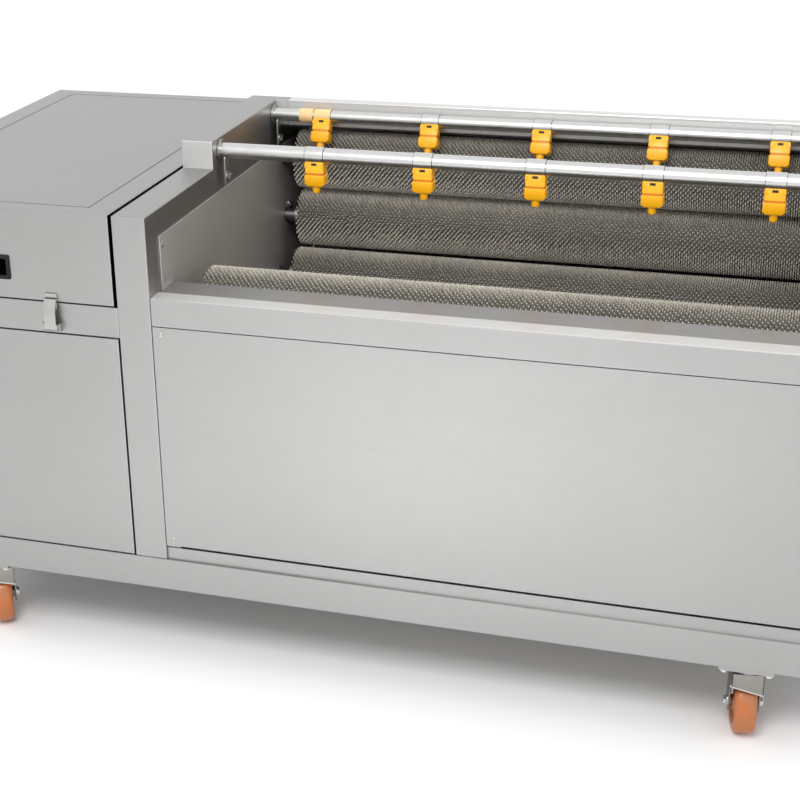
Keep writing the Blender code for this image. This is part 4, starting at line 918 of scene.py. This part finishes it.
def chain_pins(centres, radii):
    """Return an even number of evenly spaced pins on the loop round circles in the Y-Z plane.

    In each direction the loop touches the circle whose centre dot direction + radius is largest.
    """
    way = circle(4096)
    best = np.argmax(way @ centres.T + radii, 1)
    loop = centres[best] + radii[best, None] * way
    closed = np.vstack([loop, loop[:1]])
    reach = np.concatenate([[0], np.cumsum(np.linalg.norm(np.diff(closed, axis=0), axis=1))])
    count = 2 * round(reach[-1] / CHAIN_PITCH / 2)
    at = reach[-1] * np.arange(count) / count
    return np.stack([np.interp(at, reach, closed[:, i]) for i in (0, 1)], -1)


def make_chain():
    """Make the roller chain as waisted side plates and pins along the loop outside the tooth tips."""
    motor = joint_place("motor_output_spin")
    centres = np.array([roller_centre(number)[1:] for number in ROLLERS] + [motor[1:]])
    teeth = np.array([ROLLER_TEETH] * len(ROLLERS) + [MOTOR_TEETH])
    half = LINK_HEIGHT / 2
    reach = CHAIN_PITCH / (2 * np.sin(pi / teeth)) + TOOTH_HEIGHT + CHAIN_CLEARANCE + half
    pins = chain_pins(centres, reach)
    after = np.roll(pins, -1, 0)
    along = after - pins
    angle = np.arctan2(along[:, 1], along[:, 0])
    x = motor[0] + SPROCKET_WIDTH / 2
    spots = np.insert((pins + after) / 2, 0, x, axis=1)
    length = np.mean(np.linalg.norm(along, axis=1))
    plate = np.array(LINK_OUTLINE) * [length * LINK_LENGTH_SHARE, LINK_HEIGHT]
    piece = Piece("roller_chain")
    for parity, inner in ((0, 0.0011), (1, 0.0023)):
        chosen = slice(parity, None, 2)
        for sign in (-1, 1):
            link = slab(plate, *span_at(sign, inner, inner + LINK_SHEET), "X")
            piece.add(repeated(link, spots[chosen], angle[chosen]), "chain")
    pin = turned([(-0.0034, half * 0.55), (0.0034, half * 0.55)], "X", sides=8)
    piece.add(repeated(pin, np.insert(pins, 0, x, axis=1)), "shaft")
    piece.make("frame", "chain_steel", ["drive_chain"])


def finned_outline(radius):
    """Return a circle with fins: of every four steps two lie on the radius and two in the groove."""
    rise = np.tile([radius, radius, radius * FIN_ROOT_SHARE, radius * FIN_ROOT_SHARE], FIN_COUNT)
    return rise[:, None] * circle(rise.size)


def make_gearmotor():
    """Make the finned motor, its gearbox on a ribbed foot, and the sprocket on the output shaft."""
    low, high = node_box("gearmotor")
    centre = axis_along_x("motor_output_spin")
    y, z = centre[1:]
    face, foot, radius = high[0], low[2], MOTOR_RADIUS
    box, fan = face - GEARBOX_LENGTH, low[0] + FAN_COVER_LENGTH
    piece = Piece("gear_motor")
    piece.add(slab(finned_outline(radius) + (y, z), fan + 0.004, box - 0.018, "X"), "motor_paint")
    piece.turn([(low[0], radius * 0.55), (low[0] + 0.004, radius * 0.86), (low[0] + 0.014, radius),
                (fan, radius), (fan + 0.004, radius * 0.9)], "black", centre, 48)
    piece.turn([(box - 0.020, radius * 0.9), (box - 0.014, radius), (box + 0.004, radius)],
               "motor_paint", centre, 48)
    half, rise = 0.075, 0.072
    piece.add(block((box, face), around(y, half), around(z, rise), 0.008, 3), "motor_paint")
    half, rise = half * 0.86, 0.062
    cover = rounded(around(y, half), around(z, rise), 0.012)
    for start in (box - 0.003, face - 0.001):
        piece.add(slab(cover, start, start + 0.005, "X", 0.0015), "motor_paint")
    half, rise = 0.054, 0.052
    piece.bolts(COVER_BOLT, "+X", product([face + 0.004], around(y, half), around(z, rise)))
    piece.add(block((box, face), (low[1], high[1]), (foot, foot + FOOT_THICKNESS), 0.002), "motor_paint")
    for side in (-0.045, 0.0, 0.045):
        piece.add(block((box + 0.010, face - 0.010), around(y + side, 0.004), (foot + 0.006, z), 0.0015),
                  "motor_paint")
    places = product((box + 0.015, face - 0.015), within(low, high, 1, 0.011), [foot + FOOT_THICKNESS])
    piece.bolts(FOOT_BOLT, "+Z", places)
    start, end, front = fan + 0.020, fan + 0.090, y - radius - 0.030
    piece.add(block((start, end), (front, y - radius * 0.6), around(z, 0.035), 0.005), "motor_paint")
    piece.add(block((start + 0.003, end - 0.003), (front - 0.003, front + 0.001), around(z, 0.032), 0.0015),
              "black")
    piece.make("frame", "motor_paint", ["gearmotor"])
    shaft_low, shaft_high = node_box("motor_sprocket")
    radius = MOTOR_SHAFT_RADIUS
    drive = Piece("drive_sprocket")
    add_sprocket(drive, MOTOR_TEETH, joint_place("motor_output_spin")[0], centre, radius * 1.6, radius)
    add_rod(drive, shaft_low[0], shaft_high[0], radius, radius * 0.12, centre)
    drive.make("motor_output", "shaft_steel", ["motor_sprocket"])


def pipe_line(node, radius):
    """Return the place on a spray pipe's axis at X = 0; the pipe's top is its node's top."""
    low, high = node_box(node)
    return np.array((0.0, (low[1] + high[1]) / 2, high[2] - radius))


def make_spray_bars():
    """Make both pipes with their end flanges, tabs and bolts."""
    for name, node, radius in SPRAY_BARS:
        low, high = node_box(node)
        centre = pipe_line(node, radius)
        y, z = centre[1:]
        piece = Piece(name)
        piece.ring(radius, radius - PIPE_WALL, (low[0], high[0]), "pipe", centre, 40)
        tab = rounded(around(y, 0.010), (low[2], z - radius * 0.7), 0.004)
        for end, sign, way in ((low[0], 1, "+X"), (high[0], -1, "-X")):
            inner, outer = TAB_OFFSET, TAB_OFFSET + TAB_SHEET
            piece.add(slab(tab, *span_at(sign, inner, outer, end), "X", 0.0006), "zinc")
            piece.bolts(TAB_BOLT, way, [(end + sign * outer, y, low[2] + 0.014)])
            piece.ring(radius * 1.45, radius, span_at(sign, 0.0, 0.004, end), "zinc", centre, 32)
        piece.make("frame", "pipe_steel", [node])


def lofted(levels, corner=0.0025):
    """Stack rounded rectangles along Z; a level is (height, half length, half depth)."""
    rings = []
    for height, length, depth in levels:
        flat = rounded(around(0, length), around(0, depth), corner, 3)
        rings.append(laid(flat, np.array(height), "Z"))
    return stacked(np.stack(rings))


def nozzle_shells(radius):
    """Return a clip-on nozzle below a pipe along X through the origin, as (shell, finish, smooth)."""
    foot = -radius
    upper, lower, neck = 0.0170, 0.0180, foot - 0.0155
    shoulder = neck - 0.0040
    body = [(foot + 0.006, upper - 0.002, 0.0100), (foot + 0.004, upper, 0.0115), (neck, upper, 0.0115)]
    # The groove takes the deeper amber of painted shade
    groove = [(neck, upper - 0.001, 0.0106), (shoulder, upper - 0.001, 0.0106)]
    head = [(shoulder, lower - 0.001, 0.0122), (foot - 0.0205, lower, 0.0130),
            (foot - 0.0350, lower, 0.0130), (foot - 0.0390, lower - 0.004, 0.0110)]
    tip = [(foot - 0.0385, 0.0074), (foot - 0.0430, 0.0070), (foot - 0.0500, 0.0066),
           (foot - 0.0522, 0.0056), (foot - 0.0522, 0.0030), (foot - 0.0480, 0.0028)]
    half = STRAP_WIDTH / 2
    strap = ring_wall(radius + SKIN, radius + HAIR, STRAP_EDGE_SHADE - half, half - STRAP_EDGE_SHADE, sides=40)
    shells = [(lofted(body), "amber", False), (lofted(groove), "groove", False),
              (lofted(head), "amber", False), (turned(tip, "Z", sides=20), "amber", True),
              (strap, "pipe", True)]
    # Near-black rings at both ends of the strap: painted shade in the crease against the pipe
    for end in (-1, 1):
        span = span_at(end, half - STRAP_EDGE_SHADE, half - 0.0001)
        shells.append((ring_wall(radius + SKIN * 0.7, radius + HAIR, *span, sides=40), "seam", True))
    # A near-black plate on each face stands for the slot at the nozzle's top: painted shade instead of a recess
    for front in (-1, 1):
        slot = block(around(0, 0.0048), span_at(front, 0.0110, 0.0120), around(foot, 0.0022), 0.0003, 1)
        shells.append((slot, "seam", False))
        for end in (-1, 1):
            post = block(span_at(end, 0.0125, 0.0168), span_at(front, 0.0110, 0.0124),
                         (foot - 0.0050, foot + 0.0020), 0.0003, 1)
            shells.append((post, "amber", False))
    return shells


def make_nozzles():
    """Make the nozzles of both rows; the first rear one has an amber strap and a sleeve beside it."""
    for row, tilt, (_, pipe, radius) in zip(("front", "rear"), (0.0, -REAR_TILT), SPRAY_BARS):
        shells = nozzle_shells(radius)
        for number in NOZZLES:
            node = "%s_nozzle_%d" % (row, number)
            place = pipe_line(pipe, radius) + (np.mean(node_box(node), axis=0)[0], 0.0, 0.0)
            first_rear = row == "rear" and number == 1
            piece = Piece("%s_spray_nozzle_%d" % (row, number))
            for shell, finish, smooth in shells:
                if first_rear and finish == "pipe":
                    finish = "sleeve"
                piece.add(moved(shell, turn_about("X", tilt), place), finish, smooth)
            if first_rear:
                edge = -STRAP_WIDTH / 2
                piece.ring(radius + SKIN, radius + HAIR, (edge - 0.028, edge - 0.0015), "sleeve", place, 40)
            piece.make("frame", "amber", [node])


def castor_fork(name, trail, top):
    """Return a fork in its swivel's own axes: the plate, a slanted skirt with its hem, and the legs."""
    wide, front, back = FORK_OUTSIDE, -0.030, trail + 0.017
    level, high = SKIRT_LEVEL, SKIRT_LEVEL + SKIRT_RISE
    axle, centre = WHEEL_RADIUS, (0, trail, WHEEL_RADIUS)
    fork = Piece(name + "_fork")
    plate = rounded(around(0, wide), (front, back), 0.005)
    fork.add(slab(plate, top - FORK_SHEET, top, "Z", 0.001), "plated")
    skirt = [(-wide, top - 0.001), (-wide, high), (wide, level), (wide, top - 0.001)]
    fork.add(slab(skirt, front, front + FORK_SHEET, "Y", 0.0008), "plated")
    # Bright steel strip along the skirt's lower edge: painted highlight on the hem
    hem = [(-wide, high), (wide, level), (wide, level + HEM_HIGHLIGHT), (-wide, high + HEM_HIGHLIGHT)]
    fork.add(slab(hem, front - 0.0002, front + FORK_SHEET, "Y"), "bolt")
    leg = filleted([(front, top - 0.0005), (front, level + 0.002), (trail - 0.019, level - 0.010),
                    (trail - 0.017, axle), (trail - 0.007, axle - 0.0165), (trail + 0.007, axle - 0.0165),
                    (back, axle), (back, top - 0.0005)], 0.0025, 3)
    for sign, way in ((-1, "-X"), (1, "+X")):
        fork.add(slab(leg, *span_at(sign, FORK_INSIDE, wide), "X", 0.0008), "plated")
        fork.bolts(AXLE_NUT, way, [(sign * wide, trail, axle)], "bolt")
        fork.ring(0.0105, AXLE_RADIUS, span_at(sign, 0.0183, FORK_INSIDE), "plated", centre)
        rivet = [(x, 0.0030) for x in span_at(sign, wide, wide + 0.0015)]
        fork.turn(rivet, "bolt", (0, -0.020, level + 0.010), 12)
    fork.turn([(-FORK_INSIDE, AXLE_RADIUS - HAIR), (FORK_INSIDE, AXLE_RADIUS - HAIR)], "zinc", centre, 16)
    return fork


def castor_wheel(name):
    """Return a wheel along X round the origin: a rounded tread, a dished side and the bore."""
    half, inner, rim = 0.018, WHEEL_RADIUS - 0.0145, WHEEL_RADIUS
    tread = [(0.001 - half, inner), (-half, rim - 0.0095), (0.0015 - half, rim - 0.0040),
             (0.005 - half, rim - 0.0010), (0.010 - half, rim)]
    dish = [(0.001 - half, inner), (0.005 - half, inner - 0.002), (0.005 - half, 0.017), (-half, 0.015),
            (-half, AXLE_RADIUS + HAIR)]
    mirrored = [(-x, radius) for x, radius in tread[::-1] + dish]
    wheel = Piece(name + "_wheel")
    wheel.add(turned(tread + mirrored + dish[::-1], "X", sides=64, loop=True), "tread", True)
    return wheel


def make_castors():
    """Make each castor's fork and wheel, turned with its swivel, and its top plate's race and bolts."""
    for name in ("front_left", "front_right", "rear_left", "rear_right"):
        swivel = joint_place(name + "_swivel_turn") * (1, 1, 0)
        wheel = joint_place(name + "_wheel_spin")
        axis = np.array(JOINTS[name + "_wheel_spin"]["axis"])
        turn = np.column_stack([axis, np.cross((0, 0, 1), axis), (0, 0, 1)])
        trail = np.linalg.norm((wheel - swivel)[:2])
        fork = castor_fork(name, trail, node_box(name + "_castor_fork")[1][2])
        fork.shift(turn, swivel)
        fork.make(name + "_swivel", "zinc", [name + "_castor_fork"])
        roll = castor_wheel(name)
        roll.shift(turn, wheel)
        roll.make(name + "_wheel", "wheel", [name + "_castor_wheel"])
        bolts = Piece(name + "_plate_bolts")
        x, y, _ = swivel
        places = product(around(x, PLATE_BOLT_REACH), around(y, PLATE_BOLT_REACH), [PLATE_FACE])
        bolts.bolts(PLATE_BOLT, "-Z", places, "bolt")
        race = [(0.1295, 0.0270), (0.1310, 0.0295), (0.1370, 0.0295), (0.1385, 0.0270)]
        bolts.turn(race, "seam", swivel, 40, "Z")
        bolts.make("frame", "zinc")


def make_latches():
    """Make both draw latches with their keepers on the lid."""
    face = node_box("front_panel")[0][1]
    for side in ("left", "right"):
        low, high = node_box("latch_" + side)
        pivot = joint_place("latch_%s_hinge" % side)
        outer, foot, top = low[1], low[2], high[2]
        width = around(pivot[0], LATCH_HALF_WIDTH)
        lever = [(outer + 0.0045, foot), (outer, foot + 0.004), (outer, top - 0.024),
                 (outer + 0.002, top - 0.012), (outer + 0.006, top - 0.002), (outer + 0.0075, top - 0.003),
                 (outer + 0.0045, top - 0.013), (outer + 0.0022, top - 0.024),
                 (outer + 0.0022, foot + 0.006)]
        hook = [(outer + 0.006, top - 0.016), (outer + 0.009, top - 0.016), (face - HAIR, top - 0.004),
                (face - HAIR, top), (outer + 0.006, top)]
        piece = Piece("draw_latch_" + side)
        piece.add(slab(lever, *width, "X", 0.0004, 1), "zinc")
        piece.add(slab(hook, width[0] - 0.0005, width[1] + 0.0005, "X", 0.0005, 1), "zinc")
        piece.turn([(width[0] - 0.002, 0.0062), (width[1] + 0.002, 0.0062)], "zinc", pivot * (0, 1, 1))
        piece.make("latch_%s_lever" % side, "zinc", ["latch_" + side])
        keeper = Piece("latch_keeper_" + side)
        keeper.add(block(width, (face - 0.0030, face), (top + 0.0006, top + 0.0080), 0.0006, 1), "zinc")
        keeper.make("lid", "zinc")


def make_lid_handle():
    """Make the flush pull: rings of a rounded rectangle from the rim's back over its front to the cup."""
    low, high = node_box("lid_handle")
    face = low[1] + PULL_PROUD
    outer, cup, bottom = (rounded(within(low, high, 0, inset), within(low, high, 2, inset), 0.003)
                          for inset in (0.0, PULL_RIM, PULL_RIM * 1.7))
    ease = (cup - outer) * 0.12
    levels = ((outer, face - HAIR), (outer, face - 0.0014), (outer + ease, low[1]),
              (cup - ease * 0.5, low[1] + 0.0004), (cup, face + 0.004), (bottom, high[1] - 0.003),
              (cup, high[1]), (cup, face - HAIR))
    piece = Piece("lid_pull")
    piece.add(stacked(np.stack([laid(ring, np.array(height), "Y") for ring, height in levels])), "black")
    piece.make("lid", "black", ["lid_handle"])


def make_lock_and_switch():
    """Make the door's quarter-turn lock with its slot and cam, and the rotary switch."""
    low, high = node_box("door_lock")
    x, _, z = joint_place("door_lock_turn")
    lock = Piece("quarter_turn_lock")
    barrel = [(low[1], 0.0050), (low[1], 0.0100), (low[1] + 0.0008, 0.0108),
              (node_box("cabinet_door")[0][1] + 0.016, 0.0108)]
    lock.turn(barrel, "zinc", (x, 0, z), 32, "Y")
    # A dark plate on the barrel's face stands for the key slot: painted shade instead of a recess
    lock.add(block(around(x, 0.0014), (low[1] - HAIR / 2, low[1] + 0.001), around(z, 0.0045), 0.0002, 1),
             "core")
    lock.add(block(around(x, 0.006), (high[1] - 0.002, high[1]), (z, z + 0.026), 0.0005, 1), "zinc")
    lock.make("lock", "zinc", ["door_lock"])
    x, y, z = joint_place("power_switch_turn")
    knob = Piece("switch_knob")
    skirt = [(y - HAIR, 0.0155), (y - 0.003, 0.0155), (y - 0.004, 0.0135), (y - 0.0105, 0.0125),
             (y - 0.012, 0.0110)]
    knob.turn(skirt, "black", (x, 0, z), 40, "Y")
    grip = (node_box("power_switch")[0][1], y - 0.004)
    knob.add(block(around(x, 0.0026), grip, around(z, 0.0120), 0.0012), "black")
    knob.make("switch", "black", ["power_switch"])


def make_control_box():
    """Make the control box with its cover, the seam between them and the cover's screws."""
    low, high = node_box("control_box")
    seam = low[1] + 0.030
    xs, zs = (low[0], high[0]), (low[2], high[2])
    piece = Piece("switchgear_box")
    piece.add(block(xs, (seam + 0.0006, high[1]), zs, 0.004), "case_grey")
    piece.add(block(xs, (low[1], seam), zs, 0.004), "case_grey")
    piece.add(block(within(low, high, 0, 0.002), (seam - 0.001, seam + 0.002), within(low, high, 2, 0.002)),
              "core")
    piece.screws(BOX_SCREW, "-Y", product(within(low, high, 0, 0.014), low[1:2], within(low, high, 2, 0.014)))
    piece.make("frame", "box_grey", ["control_box"])


def make_catch():
    """Make the turn button that holds the discharge flap."""
    low, high = node_box("flap_catch")
    centre = axis_along_x("flap_catch_turn")
    piece = Piece("flap_turn_button")
    outline = rounded((low[1], high[1]), (low[2], high[2]), 0.0055)
    piece.add(slab(outline, high[0] - 0.003, high[0], "X", 0.0007), "zinc")
    piece.turn([(low[0], 0.0048), (high[0] - 0.002, 0.0048)], "zinc", centre, 20)
    piece.screws(CATCH_SCREW, "+X", [centre + (high[0], 0, 0)], "shaft")
    piece.make("catch", "zinc", ["flap_catch"])


def make_fasteners():
    """Make the screws of the front panel and of both liners, and the bolt on the left liner."""
    low, high = node_box("front_panel")
    screws = Piece("panel_screws")
    places = product(within(low, high, 0, 0.013), low[1:2], within(low, high, 2, 0.013))
    screws.screws(PANEL_SCREW, "-Y", places)
    low, high = node_box("left_end_plate")
    for x, way in ((high[0], "+X"), (node_box("right_end_plate")[0][0], "-X")):
        screws.screws(PANEL_SCREW, way, [(x, y, z) for z in (high[2] - 0.018, high[2] - 0.075)
                                         for y in (low[1] + 0.008, high[1] - 0.010)])
    screws.bolts(LINER_BOLT, "+X", [(high[0], *LINER_BOLT_PLACE)], "bolt")
    screws.make("frame", "zinc")


def make_bearings():
    """Make the bolted bearing flanges outside the discharge end, each on a spoke of the cradle."""
    centres = [roller_centre(number) for number in ROLLERS]
    cradle = (centres[0] + centres[-1]) / 2
    web = node_box("right_end_plate")[1][0] + HAIR + END_WEB
    outline = rounded(around(0, 0.041), around(0, 0.0215), 0.016)
    piece = Piece("bearing_flanges")
    for centre in centres:
        spoke = centre - cradle
        turn = turn_about("X", np.arctan2(spoke[2], spoke[1]))
        piece.add(moved(slab(outline, web, web + 0.006, "X", 0.001), turn, centre), "motor_paint")
        piece.ring(0.0285, SHAFT_RADIUS + 0.0012, (web + 0.004, web + 0.0146), "motor_paint", centre, 36)
        ends = [centre + turn @ (web + 0.006, sign * 0.0335, 0.0) for sign in (-1, 1)]
        piece.bolts(FLANGE_BOLT, "+X", ends)
    piece.make("frame", "zinc")


STEPS = (make_stage, make_sheet_metal, make_brushes, make_shafts, make_chain, make_gearmotor,
         make_spray_bars, make_nozzles, make_castors, make_latches, make_lid_handle,
         make_lock_and_switch, make_control_box, make_catch, make_fasteners, make_bearings)


def step_operator(work):
    """Return the operator class that makes one group of pieces, named after its function."""
    key = work.__name__.removeprefix("make_")

    def execute(self, context):
        work()
        return {"FINISHED"}

    return type("WASHER_OT_" + key, (bpy.types.Operator,), {
        "bl_idname": "washer." + key, "bl_label": key.replace("_", " ").title(),
        "__doc__": work.__doc__, "execute": execute})


OPERATORS = [step_operator(step) for step in STEPS]


class WASHER_PT_looks(bpy.types.Panel):
    """Lists the steps that dress the machine."""

    bl_idname = "WASHER_PT_looks"
    bl_label = "Washer Looks"
    bl_space_type = "VIEW_3D"
    bl_region_type = "UI"
    bl_category = "Washer"

    def draw(self, context):
        for name, group in GROUPS.items():
            for key in group.__annotations__:
                self.layout.prop(getattr(context.scene, name), key)
        for operator in OPERATORS:
            self.layout.operator(operator.bl_idname)


GROUPS = {"washer_sizes": WasherSizes, "washer_colours": WasherColours, "washer_stage": WasherStage}


def register():
    """Register the classes and hang the settings on the scene."""
    for item in (*GROUPS.values(), *OPERATORS, WASHER_PT_looks):
        bpy.utils.register_class(item)
    for key, group in GROUPS.items():
        setattr(bpy.types.Scene, key, PointerProperty(type=group))


def unregister():
    """Take the settings off the scene and unregister the classes."""
    for key in GROUPS:
        delattr(bpy.types.Scene, key)
    for item in (WASHER_PT_looks, *reversed(OPERATORS), *GROUPS.values()):
        bpy.utils.unregister_class(item)


def main():
    """Run every step in order and note the two sizes."""
    register()
    for operator in OPERATORS:
        getattr(bpy.ops.washer, operator.bl_idname.removeprefix("washer."))()
    bpy.context.view_layer.update()


if __name__ == "__main__":
    main()
